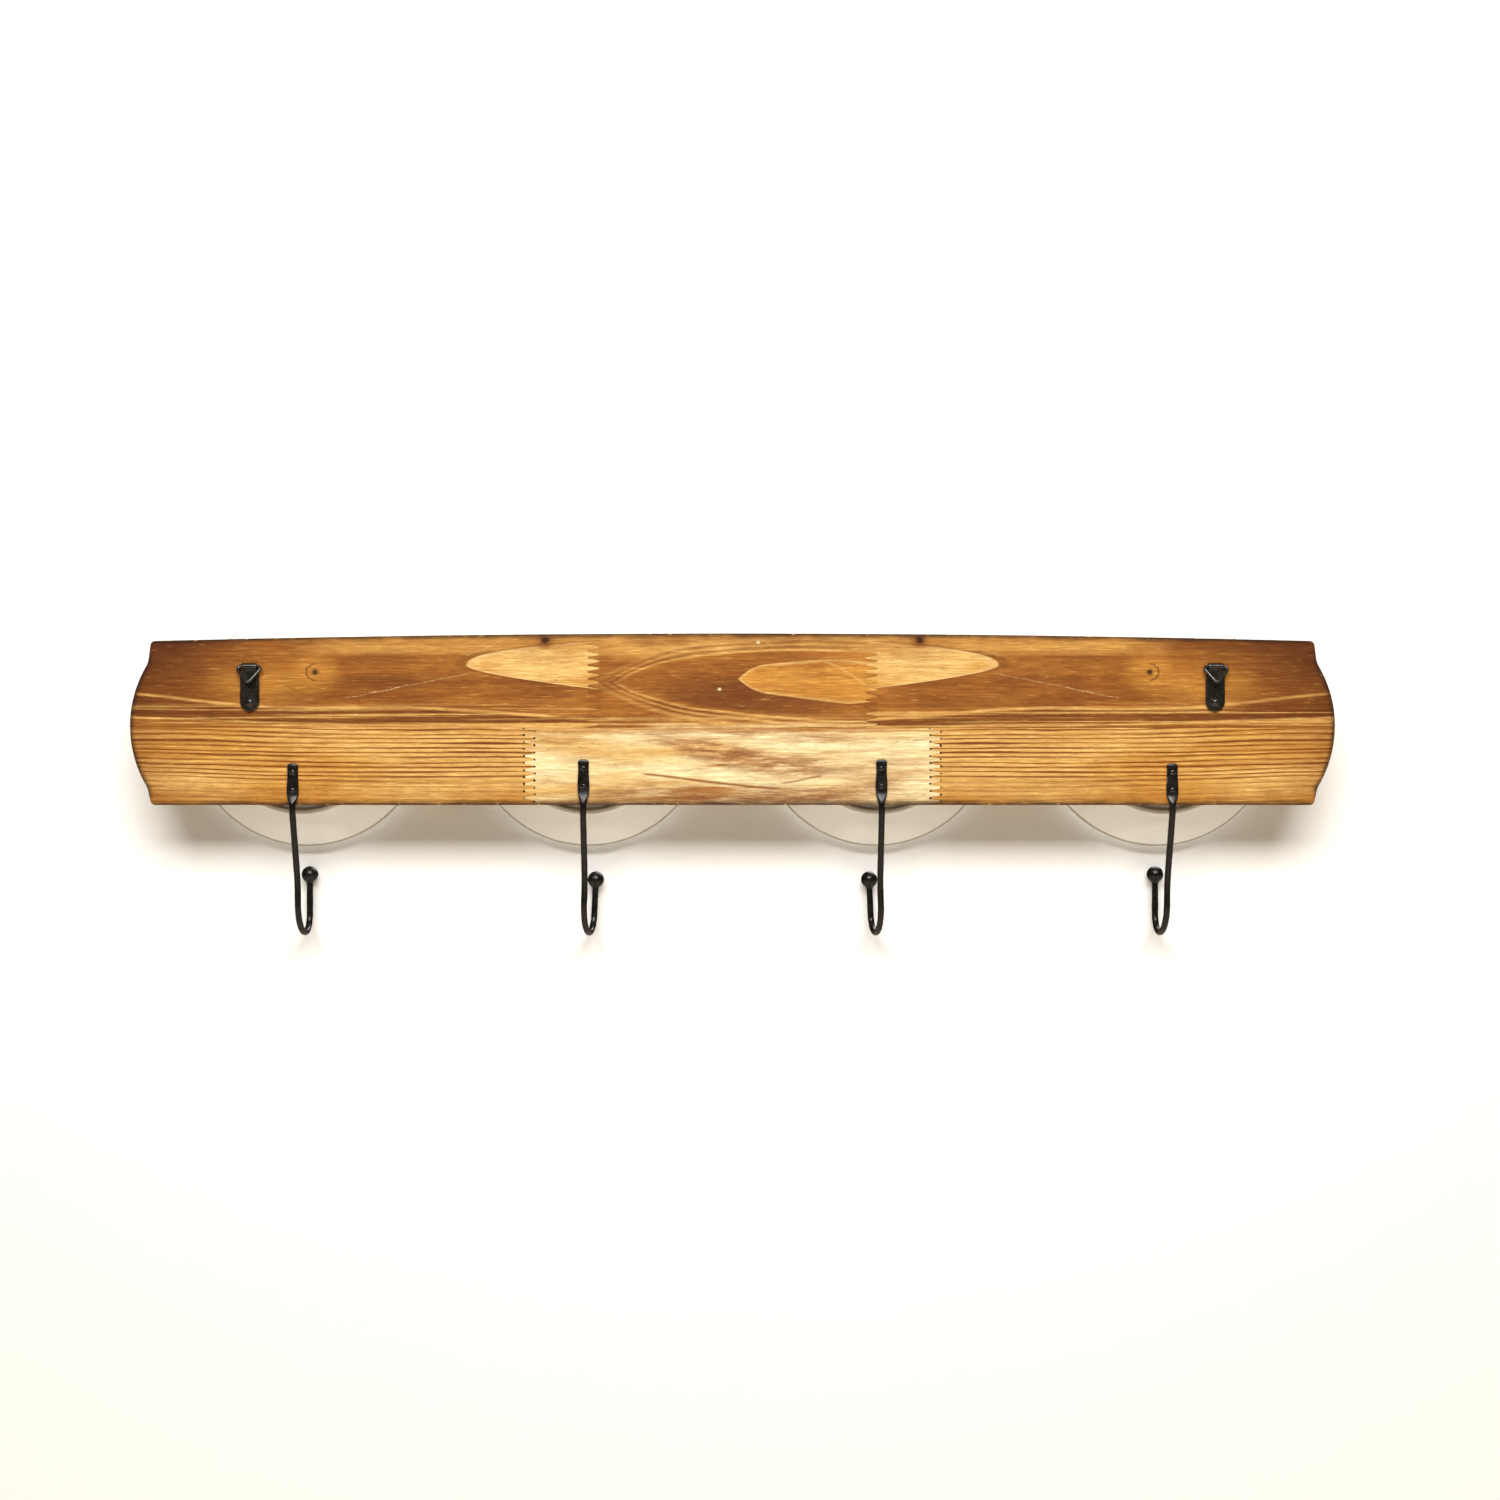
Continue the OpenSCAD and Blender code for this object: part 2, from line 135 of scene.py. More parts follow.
class RackMetal(bpy.types.PropertyGroup):
    """Looks and sizes of the hooks and hangers."""

    black: colour("Black", "Lacquer on the hooks", (0.0040, 0.0030, 0.0026))
    bronze: colour("Bronze black", "Plating on the hangers", (0.0080, 0.0065, 0.0040))
    bare: colour("Bare steel", "Steel where the black has worn off", (0.30, 0.28, 0.26))
    hammer: length("Hammer marks", "Depth of the marks in the forged wire", 0.10 * MM)


class RackDish(bpy.types.PropertyGroup):
    """Looks of the dishes."""

    glaze: colour("Glaze", "Colour of the glaze", (0.93, 0.925, 0.895))
    # Clay of the lip, laid heaviest on each dish's lower rim as painted shade.
    lip: colour("Lip", "Clay showing through the thin glaze on the rim", (0.36, 0.30, 0.22))
    clay: colour("Clay", "Thin glaze over the clay of the foot ring", (0.80, 0.76, 0.68))
    turns: IntProperty(name="Turns", description="Steps in each dish's full turn", default=96, min=48,
                       max=192)


class RackStage(bpy.types.PropertyGroup):
    """Camera and light."""

    camera_distance: length("Camera distance", "From the board's back face to the camera", 0.90)
    view_width: length("View width", "Width of the view at the board's back face", 0.7605)
    key_power: FloatProperty(name="Key light", description="Power of the soft light over the camera",
                             default=35.0, unit="POWER")
    front_power: FloatProperty(name="Front light", description="Power of the soft light on the dishes' side",
                               default=20.0, unit="POWER")
    sky: FloatProperty(name="Sky", description="Strength of the even light from all round", default=0.08)
    sky_tint: colour("Sky tint", "Colour of the even light", (1.0, 0.82, 0.58))


PROPERTIES = {"rack_wood": RackWood, "rack_metal": RackMetal, "rack_dish": RackDish,
              "rack_stage": RackStage}


# ---- shader graphs ----


class Signal:
    """A shader socket that plain arithmetic works on, each step being a Math node."""

    def __init__(self, graph, socket):
        self.graph = graph
        self.socket = socket

    def __add__(self, other):
        return self.graph.math("ADD", self, other)

    def __sub__(self, other):
        return self.graph.math("SUBTRACT", self, other)

    def __rsub__(self, other):
        return self.graph.math("SUBTRACT", other, self)

    def __mul__(self, other):
        return self.graph.math("MULTIPLY", self, other)

    def __truediv__(self, other):
        return self.graph.math("DIVIDE", self, other)

    def __abs__(self):
        return self.graph.math("ABSOLUTE", self)


class Graph:
    """Adds shader nodes to a tree, and keeps the tone that a material builds up in coats."""

    def __init__(self, tree):
        self.tree = tree
        self.tone = None

    def feed(self, socket, value):
        """Links a socket, or sets a constant on it."""
        value = getattr(value, "socket", value)
        if isinstance(value, bpy.types.NodeSocket):
            self.tree.links.new(value, socket)
        elif hasattr(socket.default_value, "__len__"):
            socket.default_value = (*value, 1.0)[:len(socket.default_value)]
        else:
            socket.default_value = value

    def add(self, kind, values=(), **settings):
        """A node with its settings, and its inputs fed in order."""
        node = self.tree.nodes.new("ShaderNode" + kind)
        for key, value in settings.items():
            setattr(node, key, value)
        for socket, value in zip(node.inputs, values):
            self.feed(socket, value)
        return node

    def get(self, kind, values=(), output=0, **settings):
        """Adds a node and gives one of its outputs."""
        return Signal(self, self.add(kind, values, **settings).outputs[output])

    def math(self, operation, *values):
        return self.get("Math", values, operation=operation)

    def root(self, a, b):
        """Length of a line that goes a one way and b the other."""
        return self.math("SQRT", a * a + b * b)

    def split(self, vector):
        """X, Y and Z of a vector."""
        return [Signal(self, socket) for socket in self.add("SeparateXYZ", (vector,)).outputs]

    def mix(self, factor, a, b, blend="MIX"):
        node = self.add("Mix", data_type="RGBA", blend_type=blend)
        for socket, value in zip((node.inputs[0], node.inputs[6], node.inputs[7]), (factor, a, b)):
            self.feed(socket, value)
        return Signal(self, node.outputs[2])

    def coat(self, mask, colour):
        """Lays a colour over the tone, where the mask is."""
        self.tone = self.mix(mask, self.tone, colour)

    def tint(self, mask, colour):
        """Multiplies the tone by a colour, where the mask is."""
        self.coat(mask, self.mix(1.0, self.tone, colour, "MULTIPLY"))

    def fade(self, value, start, end, low=0.0, high=1.0):
        """Goes smoothly from low at start to high at end."""
        return self.get("MapRange", (value, start, end, low, high), interpolation_type="SMOOTHSTEP")

    def over(self, value, start, end, low=0.0, high=1.0):
        """Fades over a distance given in millimetres."""
        return self.fade(value, start * MM, end * MM, low, high)

    def band(self, value, centre, half_width, soft):
        """A mask that is 1 within half_width of centre and fades over soft, in millimetres."""
        return self.over(abs(value - centre * MM), half_width, half_width + soft, 1.0, 0.0)

    def stretch(self, vector, scale, shift=(0.0, 0.0, 0.0)):
        return self.get("Mapping", (vector, shift, (0.0, 0.0, 0.0), scale))

    def noise(self, vector, scale, detail=3.0, roughness=0.55, distortion=0.0):
        node = self.add("TexNoise")
        settings = {"Vector": vector, "Scale": scale, "Detail": detail, "Roughness": roughness,
                    "Distortion": distortion}
        for name, value in settings.items():
            self.feed(node.inputs[name], value)
        return Signal(self, node.outputs["Fac"])

    def grain(self, vector, scale, detail=3.0, roughness=0.55, shift=(0.0, 0.0, 0.0), distortion=0.0):
        """Noise stretched by its own scale each way."""
        return self.noise(self.stretch(vector, scale, shift), 1.0, detail, roughness, distortion)

    def path(self, value, start, end, heights):
        """A smooth curve through evenly spaced heights as value goes from start to end, in millimetres."""
        low = min(heights)
        reach = max(heights) - low
        ramp = self.add("ValToRGB", (self.get("MapRange", (value, start * MM, end * MM, 0.0, 1.0)),))
        ramp.color_ramp.interpolation = "B_SPLINE"
        marks = ramp.color_ramp.elements
        while len(marks) < len(heights):
            marks.new(0.5)
        for i, height in enumerate(heights):
            level = (height - low) / reach
            marks[i].position = i / (len(heights) - 1)
            marks[i].color = (level, level, level, 1.0)
        return Signal(self, ramp.outputs[0]) * (reach * MM) + low * MM

    def use(self, group, **values):
        """A node group with its inputs fed by name, where _ stands for a space. Gives its outputs by name,
        or its only one."""
        node = self.add("Group", node_tree=group())
        for name, value in values.items():
            self.feed(node.inputs[name.replace("_", " ")], value)
        found = {socket.name: Signal(self, socket) for socket in node.outputs}
        return found if len(found) > 1 else found.popitem()[1]

    def shine(self, rough, height, depth, strength, **constants):
        """Feeds the tone, roughness and relief to the material's shader, and sets its plain values."""
        bump = self.add("Bump")
        for name, value in (("Strength", strength), ("Distance", depth), ("Height", height)):
            self.feed(bump.inputs[name], value)
        inputs = self.tree.nodes["Principled BSDF"].inputs
        self.feed(inputs["Base Color"], self.tone)
        self.feed(inputs["Roughness"], rough)
        self.feed(inputs["Normal"], bump.outputs[0])
        for name, value in constants.items():
            self.feed(inputs[name.replace("_", " ")], value)


KINDS = {"f": "NodeSocketFloat", "v": "NodeSocketVector"}


def shader_group(name, inputs, outputs):
    """Turns a function that wires a node group into one that gives the group, which is built only once.
    inputs and outputs are 'Name:kind' words, where _ stands for a space."""

    def wrap(wire):
        def group():
            tree = bpy.data.node_groups.get(name)
            if tree:
                return tree
            tree = bpy.data.node_groups.new(name, "ShaderNodeTree")
            for in_out, words in (("INPUT", inputs), ("OUTPUT", outputs)):
                for word in words.split():
                    label, kind = word.split(":")
                    label = label.replace("_", " ")
                    tree.interface.new_socket(name=label, in_out=in_out, socket_type=KINDS[kind])
            g = Graph(tree)
            source = tree.nodes.new("NodeGroupInput").outputs
            given = [Signal(g, source[i]) for i in range(len(inputs.split()))]
            for socket, value in zip(tree.nodes.new("NodeGroupOutput").inputs, wire(g, *given)):
                g.feed(socket, value)
            return tree

        group.__doc__ = wire.__doc__
        return group

    return wrap


@shader_group("Wood Fibre", "Vector:v", "Streak:f Line:f Pore:f Drift:f")
def fibre(g, place):
    """Wood fibre along X: long streaks, fine lines, pores and slow drift, each from 0 to 1."""
    pore = g.grain(place, (230.0, 1500.0, 1900.0), 2.0, 0.5)
    return (g.grain(place, (9.0, 240.0, 420.0), 4.0, 0.6), g.grain(place, (90.0, 700.0, 1150.0), 3.0, 0.7),
            g.fade(pore, 0.60, 0.70), g.grain(place, (11.0, 40.0, 46.0), 2.0, 0.5, (3.1, 0.0, 1.7)))


@shader_group("Board Rim", "Vector:v Reach:f", "Mask:f")
def rim(g, place, reach):
    """Distance in from the board's outline, as a mask that is 1 at the edge and 0 at Reach."""
    x, _, z = g.split(place)
    across = abs(x)
    ratio = across / BOARD_END
    top = BOARD_TOP - ratio * ratio * CROWN
    dx = g.math("MAXIMUM", across - (BOARD_END - BULGE_R), 0.0)
    in_bulge = BULGE_R - g.root(dx, z - BULGE_Z)
    from_end = g.math("MAXIMUM", in_bulge, BOARD_END - EAR_BACK - across)
    edge = g.math("MINIMUM", g.math("MINIMUM", top - z, z - BOARD_BOTTOM), from_end)
    wander = (g.grain(place, (60.0, 60.0, 160.0), 3.0, 0.6) - 0.5) * reach
    return (g.fade((edge + wander) / reach, 0.0, 1.0, 1.0, 0.0),)


@shader_group("Grain Tongue", "Vector:v Tip:f Centre:f Slope:f Open_Up:f Open_Down:f Wobble:f", "Inside:f")
def tongue(g, place, tip, centre, slope, open_up, open_down, wobble):
    """Cathedral grain: how far a point lies inside a tongue that opens along +X, in metres."""
    x, _, z = g.split(place)
    run = x - tip
    off = z - (centre + run * slope)
    above = g.math("GREATER_THAN", off, 0.0)
    spread = above * open_up + (1.0 - above) * open_down
    shake = (g.grain(place, (14.0, 14.0, 90.0), 4.0) - 0.5) * wobble
    return (run - off * off / spread + shake,)


@shader_group("Wood Knot", "Vector:v At_X:f At_Z:f Radius:f", "Core:f Ring:f Halo:f")
def knot(g, place, at_x, at_z, radius):
    """A small knot: its dark core, its cracked ring and the pale halo round it, as masks."""
    x, _, z = g.split(place)
    dx = x - at_x
    dz = z - at_z
    blur = (g.noise(place, 420.0, 3.0, 0.6) - 0.5) * (1.2 * MM)
    away = (g.math("SQRT", dx * dx * 0.8 + dz * dz) + blur) / radius
    ring = g.fade(abs(away - 1.0), 0.03, 0.16, 1.0, 0.0) * g.over(dx, -1.5, 1.5, 1.0, 0.0)
    return g.fade(away, 0.16, 0.55, 1.0, 0.0), ring, g.fade(away, 0.9, 3.6, 1.0, 0.0)


FINGER_PITCH = 3.5545 * MM
FINGER_REACH = 2.65 * MM


@shader_group("Finger Tips", "Vector:v Joint_X:f Base_Z:f", "Mask:f")
def finger_dots(g, place, joint_x, base_z):
    """Dark dots where glue and stain have sunk in at the tips of a joint's fingers, as a mask."""
    x, _, z = g.split(place)
    count = (z - base_z) / FINGER_PITCH
    size = g.fade(g.noise(place, 620.0, 2.0), 0.35, 0.65, 0.05 * MM, 0.60 * MM)
    dots = []
    for shift, reach in ((0.0, FINGER_REACH), (0.5, -FINGER_REACH)):
        dz = (g.math("FRACT", count + shift) - 0.5) * FINGER_PITCH
        away = g.root(x - joint_x - reach, dz)
        dots.append(g.over(away - size, 0.0, 0.30, 1.0, 0.0))
    return (g.math("MAXIMUM", *dots),)


@shader_group("Scratch", "Vector:v At_X:f At_Z:f Slope:f Run:f", "Mask:f")
def scratch(g, place, at_x, at_z, slope, run):
    """A dotted scratch from one point to another in the X-Z plane, as a mask."""
    x, _, z = g.split(place)
    dx = x - at_x
    fall = z - at_z - dx * slope
    line = g.band(fall + (g.noise(place, 90.0, 2.0) - 0.5) * (1.6 * MM), 0.0, 0.08, 0.22)
    ends = g.over(dx, 0.0, 2.0) * g.fade(dx, run, run + 3 * MM, 1.0, 0.0)
    return (line * ends * g.fade(g.noise(place, 1500.0, 2.0), 0.46, 0.56),)


@shader_group("Worn Metal", "Vector:v Wear:f", "Worn:f Patch:f Height:f")
def worn_metal(g, place, wear):
    """Wear for black metal: rubbed edges, dull patches and fine dents."""
    patch = g.noise(place, 260.0, 4.0, 0.6)
    grit = g.noise(place, 1800.0, 3.0, 0.6)
    edge = g.fade(g.get("NewGeometry", output="Pointiness") + (grit - 0.5) * 0.05, 0.535, 0.60)
    return edge * g.fade(patch, 0.45, 0.62) * wear, patch, patch * 0.6 + grit * 0.4


# ---- materials ----


def new_material(name):
    """A new material, its graph and the place on the object."""
    material = bpy.data.materials.new(name)
    material.use_nodes = True
    g = Graph(material.node_tree)
    return material, g, g.get("TexCoord", output="Object")


def scaled(colour, factor):
    """A colour made lighter or darker."""
    return tuple(factor * part for part in colour)


def thread_grain(g, place, shift):
    """Long fine threads that show where a face has been planed along its seam."""
    return g.grain(place, (5.0, 20.0, 520.0), 3.0, 0.6, (shift, 0.0, 0.4))


def scratches(g, place, marks, strength, colour):
    """Dotted scratches, each given as its start's X and Z, its slope and its run, in millimetres."""
    for at_x, at_z, slope, run in marks:
        mark = g.use(scratch, Vector=place, At_X=at_x * MM, At_Z=at_z * MM, Slope=slope, Run=run * MM)
        g.coat(mark * strength, colour)


def finish_wood(g, wood, place, joints, base_z, tips, line_depth=0.5):
    """Adds fibre, pores, joint marks, the dark rim, gloss and relief to a wood's own figure."""
    part = g.use(fibre, Vector=place)
    streak, line, pore, drift = (part[name] for name in ("Streak", "Line", "Pore", "Drift"))
    g.tint(g.fade(streak, 0.38, 0.60, 1.0, 0.0) * 0.55, (0.70, 0.56, 0.42))
    g.tint(g.fade(line, 0.36, 0.56, 1.0, 0.0) * line_depth, (0.60, 0.46, 0.30))
    g.tint(g.fade(line, 0.53, 0.68, 0.0, 0.85), (1.28, 1.42, 1.60))
    g.coat(g.fade(line, 0.60, 0.72) * 0.30, wood.straw)
    g.coat(pore * 0.35, wood.umber)
    for joint_x in joints:
        g.coat(g.use(finger_dots, Vector=place, Joint_X=joint_x, Base_Z=base_z) * tips, wood.near_black)
    near, wide, narrow = (g.use(rim, Vector=place, Reach=wood.dark_edge_reach * k) for k in (1.0, 4.5, 0.5))
    # Darker towards the outline: a wide soft band, then a near-black band right at the edge.
    g.tint(wide * 0.34, (0.50, 0.34, 0.22))
    g.coat(near * 0.85, wood.near_black)
    # The sawn sides are a little lighter than the darkened arrises, and only the arrises are chipped.
    depth = g.split(place)[1]
    side = g.over(depth, 0.6, 2.4) * g.fade(depth, BOARD_FRONT - 0.6 * MM, BOARD_FRONT - 2.4 * MM)
    g.coat(side * 0.75, g.mix(g.fade(streak, 0.40, 0.62), wood.umber, wood.brown))
    chip = g.fade(g.grain(place, (240.0, 500.0, 620.0)), 0.60, 0.66) * (1.0 - side)
    g.coat(chip * narrow * 0.5, wood.straw)
    rough = g.get("MapRange", (drift, 0.3, 0.7, 0.46, 0.62)) + pore * 0.2
    g.shine(rough, streak * 0.5 + line * 0.35 - pore * 0.5, 0.12 * MM, 0.55, Specular_IOR_Level=0.16)


def run_lines(g, wood, place, x, z):
    """The two light grain lines that run the whole length of the upper strip, with a dark band between."""
    high = g.path(x, 305, 0, (14.5, 9.5, 5.6, 6.6, 6.6, 3.8, 0.8, -0.6, -1.6))
    shake = (g.grain(place, (20.0, 20.0, 200.0)) - 0.5) * (1.6 * MM)
    off = z - high + shake
    g.coat(g.over(off, -0.2, -1.4) * 0.55, wood.umber)
    low_off = z - g.path(x, 305, 60, (2.0, -0.2, -1.9, -2.6, -3.0, -3.3)) + shake * 0.4
    g.coat(g.over(low_off, 0.6, -0.4, 0.0, 0.75), wood.tan)
    light = g.mix(0.6, wood.gold, wood.straw)
    uneven = g.fade(g.grain(place, (24.0, 20.0, 40.0)), 0.38, 0.58, 0.45, 0.95)
    g.coat(g.band(off, 0.3, 0.25, 0.9) * uneven, light)
    g.coat(g.band(low_off, 0.2, 0.1, 0.8) * uneven, light)
    thread = thread_grain(g, place, 0.2)
    low_down = g.over(z, 11, 5)
    g.coat(g.fade(thread, 0.50, 0.62) * (low_down * 0.85), light)
    g.coat(g.fade(thread, 0.48, 0.34) * (low_down * 0.55), wood.umber)


def brown_wood(wood, name, side):
    """Upper strip's end length: brown, with a pale tongue at its joint, two knots and some scratches."""
    material, g, place = new_material(name)
    # The pattern is laid out for the left length, and turned over for the right.
    face = g.stretch(place, (-side, 1.0, 1.0))
    x, _, z = g.split(face)
    cloud = g.grain(face, (16.0, 30.0, 60.0), shift=(0.4, 0.0, 0.9))
    g.tone = g.mix(g.fade(cloud, 0.36, 0.66), wood.brown, wood.tan)
    g.coat(g.fade(g.use(fibre, Vector=place)["Drift"], 0.52, 0.72, 0.0, 0.5), wood.umber)
    g.coat(g.over(x, -225, -290, 0.0, 0.85) * g.over(z, 8, 26, 0.35, 1.0), wood.umber)
    g.coat(g.over(z, 32, 37) * g.over(x, -235, -190) * 0.95, g.mix(0.25, wood.gold, wood.straw))
    glow = g.over(abs(x + 238 * MM), 8, 34, 1.0, 0.0) * g.over(abs(z - 15 * MM), 2, 13, 1.0, 0.0)
    g.coat(glow * g.fade(cloud, 0.35, 0.6, 0.3, 0.75), wood.gold)
    inside = g.use(tongue, Vector=face, Tip=-135.5 * MM, Centre=28.5 * MM, Slope=-0.055,
                   Open_Up=3.6 * MM, Open_Down=1.15 * MM, Wobble=3.0 * MM)
    pale = g.mix(g.fade(cloud, 0.42, 0.62, 0.0, 0.7), wood.straw, wood.gold)
    pale = g.mix(g.over(inside, 1.0, 9.0, 0.25, 0.0), pale, wood.cream)
    g.coat(g.band(inside, -2.2, 1.0, 4.0) * 0.35, wood.umber)
    g.coat(g.over(inside, 0.0, 1.6), pale)
    run_lines(g, wood, place, x * -1.0, z)
    small = g.use(knot, Vector=face, At_X=-211.5 * MM, At_Z=24.8 * MM, Radius=4.1 * MM)
    g.coat(small["Halo"] * 0.55, wood.gold)
    g.coat(small["Ring"] * 0.8, wood.umber)
    g.coat(small["Core"] * 0.9, wood.near_black)
    outer, inner = (g.use(knot, Vector=face, At_X=-95.0 * MM, At_Z=41.0 * MM, Radius=radius * MM)
                    for radius in (11, 5.2))
    g.coat(outer["Core"] * 0.75, wood.brown)
    g.coat(inner["Halo"] * 0.25, wood.brown)
    g.coat(inner["Core"] * 0.90, wood.umber)
    g.coat(g.math("POWER", inner["Core"], 3.0) * 0.8, wood.near_black)
    marks = ((-197, 11.4, 0.20, 26), (-184, 14.2, 0.197, 49), (-136, 32.6, 0.427, 22))
    scratches(g, face, marks, 0.55, wood.cream)
    finish_wood(g, wood, place, (side * UPPER_JOINT,), SEAM, 0.12)
    return material


# Heights of the flame figure's and its eye's edges in millimetres, evenly spaced along X
FLAME_TOP = (12, 23, 30, 32.8, 34.2, 35.4, 35.9, 35.6, 34.5)
FLAME_BOTTOM = (26, 16.5, 10.2, 6.5, 4.9, 2.8, 1.2, 0.6, 0.2)
EYE_TOP = (14, 28.5, 29.3, 30.6, 31.8, 31, 29)
EYE_BOTTOM = (28, 14.8, 13, 11.4, 9.8, 8, 10.5)


def between(g, x, z, half_length, top, bottom):
    """How far a point lies inside the shape between two curves, in metres up or down."""
    below_top = g.path(x, -half_length, half_length, top) - z
    above_bottom = z - g.path(x, -half_length, half_length, bottom)
    return g.math("MINIMUM", below_top, above_bottom)


def figured_wood(wood, name):
    """Upper strip's middle length: dark flame figure round a light eye."""
    material, g, place = new_material(name)
    x, _, z = g.split(place)
    cloud = g.grain(place, (18.0, 30.0, 70.0), shift=(1.4, 0.0, 0.3))
    g.tone = g.mix(g.fade(cloud, 0.38, 0.62), wood.brown, wood.tan)
    g.coat(g.over(z, 30, 36) * g.fade(cloud, 0.40, 0.60, 0.4, 1.0), g.mix(0.30, wood.gold, wood.straw))
    shake = (g.grain(place, (16.0, 20.0, 130.0), 4.0, 0.6) - 0.5) * (3.0 * MM)
    flame = between(g, x, z, 71, FLAME_TOP, FLAME_BOTTOM) + shake
    light = g.mix(0.6, wood.gold, wood.straw)
    broken = g.grain(place, (16.0, 20.0, 60.0), 2.0, 0.5, (0.1, 0.0, 0.8))
    along = g.over(x, -70, -25, 0.25, 1.0)
    light_rings = ((-0.6, 0.2, 0.8, 0.90), (-3.1, 0.1, 0.9, 0.70), (-6.2, 0.4, 1.4, 0.55))
    for depth, half, soft, amount in light_rings:
        ring = g.band(flame, depth, half, soft) * g.fade(broken, 0.35, 0.55, 0.35, 1.0)
        g.coat(ring * amount * along, light)
    for depth, amount in ((-1.9, 0.50), (-4.6, 0.45)):
        ring = g.band(flame, depth, 0.2, 0.9) * g.fade(broken, 0.60, 0.42, 0.15, 1.0)
        g.coat(ring * g.over(x, -62, -30) * amount, wood.umber)
    dark = g.mix(g.fade(cloud, 0.34, 0.62), wood.brown, g.mix(0.6, wood.brown, wood.tan))
    deep_x = (x - 4 * MM) / (52 * MM)
    deep_z = (z - 9 * MM) / (15 * MM)
    dark = g.mix(g.fade(deep_x * deep_x + deep_z * deep_z, 0.05, 1.3, 0.62, 0.0), dark, wood.umber)
    dark = g.mix(g.over(flame, 2.4, 0.0, 0.0, 0.6), dark, wood.tan)
    dark = g.mix(g.over(x, 34, 66) * g.over(z, 22, 30) * 0.75, dark, wood.gold)
    g.coat(g.over(flame, -0.3, 0.5), dark)
    eye = between(g, x - 35 * MM, z, 39, EYE_TOP, EYE_BOTTOM) + shake * 0.35
    eye_tone = g.mix(g.fade(cloud, 0.40, 0.6), wood.gold, wood.tan)
    g.coat(g.over(eye, -0.2, 0.5), g.mix(g.over(eye, 0.0, 2.2, 0.75, 0.0), eye_tone, wood.straw))
    fold = g.path(x, 44, 72, (31, 29, 25, 20, 15))
    g.coat(g.band(z - fold, 0.0, 0.2, 0.9) * g.over(x, 42, 48) * 0.35, wood.straw)
    for at_x, at_z in ((-6.5, 16.2), (13, 40)):
        fleck = g.use(knot, Vector=place, At_X=at_x * MM, At_Z=at_z * MM, Radius=2.2 * MM)["Core"]
        g.coat(fleck * 0.9, wood.cream)
    thread = thread_grain(g, place, 0.6)
    g.coat(g.fade(thread, 0.46, 0.60) * (g.over(z, 5, -1) * 0.80), wood.straw)
    patchy = g.fade(thread, 0.42, 0.54) * g.fade(broken, 0.42, 0.56, 0.1, 1.0)
    g.coat(g.fade(z, 0.5 * MM, SEAM) * patchy, g.mix(0.5, wood.straw, wood.cream))
    finish_wood(g, wood, place, (-UPPER_JOINT, UPPER_JOINT), SEAM, 0.12)
    return material


STRIPE_PITCH = 2.4 * MM


def golden_wood(wood, name, side):
    """Lower strip's end length: golden, with fine dark pinstripes that fade out near its lower edge."""
    material, g, place = new_material(name)
    face = g.stretch(place, (-side, 1.0, 1.0))
    x, y, z = g.split(face)
    wave = (g.grain(face, (12.0, 12.0, 60.0), 2.0) - 0.5) * (2.2 * MM)
    level = z + g.path(x, -305, -100, (-2.6, -1.4, 0.0, 0.4, 0.2, 0.6)) + wave
    uneven = g.noise(g.get("CombineXYZ", (x * 5.0, y * 20.0, level * 260.0)), 1.0, 3.0, 0.6)
    turn = level * (2 * math.pi / STRIPE_PITCH) + uneven * 11.0
    crest = g.math("MULTIPLY_ADD", g.math("SINE", turn), 0.5, 0.5)
    strength = g.grain(face, (14.0, 30.0, 420.0), 2.0, shift=(0.3, 0.0, 0.5))
    stripe = crest * g.fade(strength, 0.36, 0.60, 0.70, 1.0)
    cloud = g.grain(face, (9.0, 30.0, 60.0), 3.0, 0.5, (0.7, 0.0, 0.2))
    g.tone = g.mix(g.fade(cloud, 0.38, 0.64), wood.gold, g.mix(0.6, wood.gold, wood.straw))
    fade_low = g.over(z, -27, -33, 1.0, 0.28)
    for start, end, amount, colour in ((0.42, 0.85, 0.92, wood.brown), (0.78, 0.98, 0.6, wood.umber),
                                       (0.20, 0.05, 0.40, wood.straw)):
        g.coat(g.fade(stripe, start, end) * fade_low * amount, colour)
    g.coat(g.over(x, -262, -302, 0.0, 0.30), wood.brown)
    finish_wood(g, wood, place, (side * LOWER_JOINT,), BOARD_BOTTOM, 0.95, 0.45)
    return material


# Brown haze on the pale length in millimetres: middle X and Z, half sizes, slope and strength
HAZE = (
    (-6, -16, 30, 7, -0.14, 0.95),
    (24, -22, 34, 6.5, -0.08, 0.88),
    (-30, -10, 22, 3, -0.06, 0.60),
    (40, -9, 26, 2.6, 0.05, 0.45),
    (6, -39, 66, 7, 0.0, 0.85),
    (-62, -37, 26, 4.5, 0.22, 0.65),
    (62, -35, 30, 5.5, 0.14, 0.70),
    (-70, -20, 26, 3.0, -0.10, 0.35),
    (78, -22, 26, 3.0, 0.10, 0.40),
)


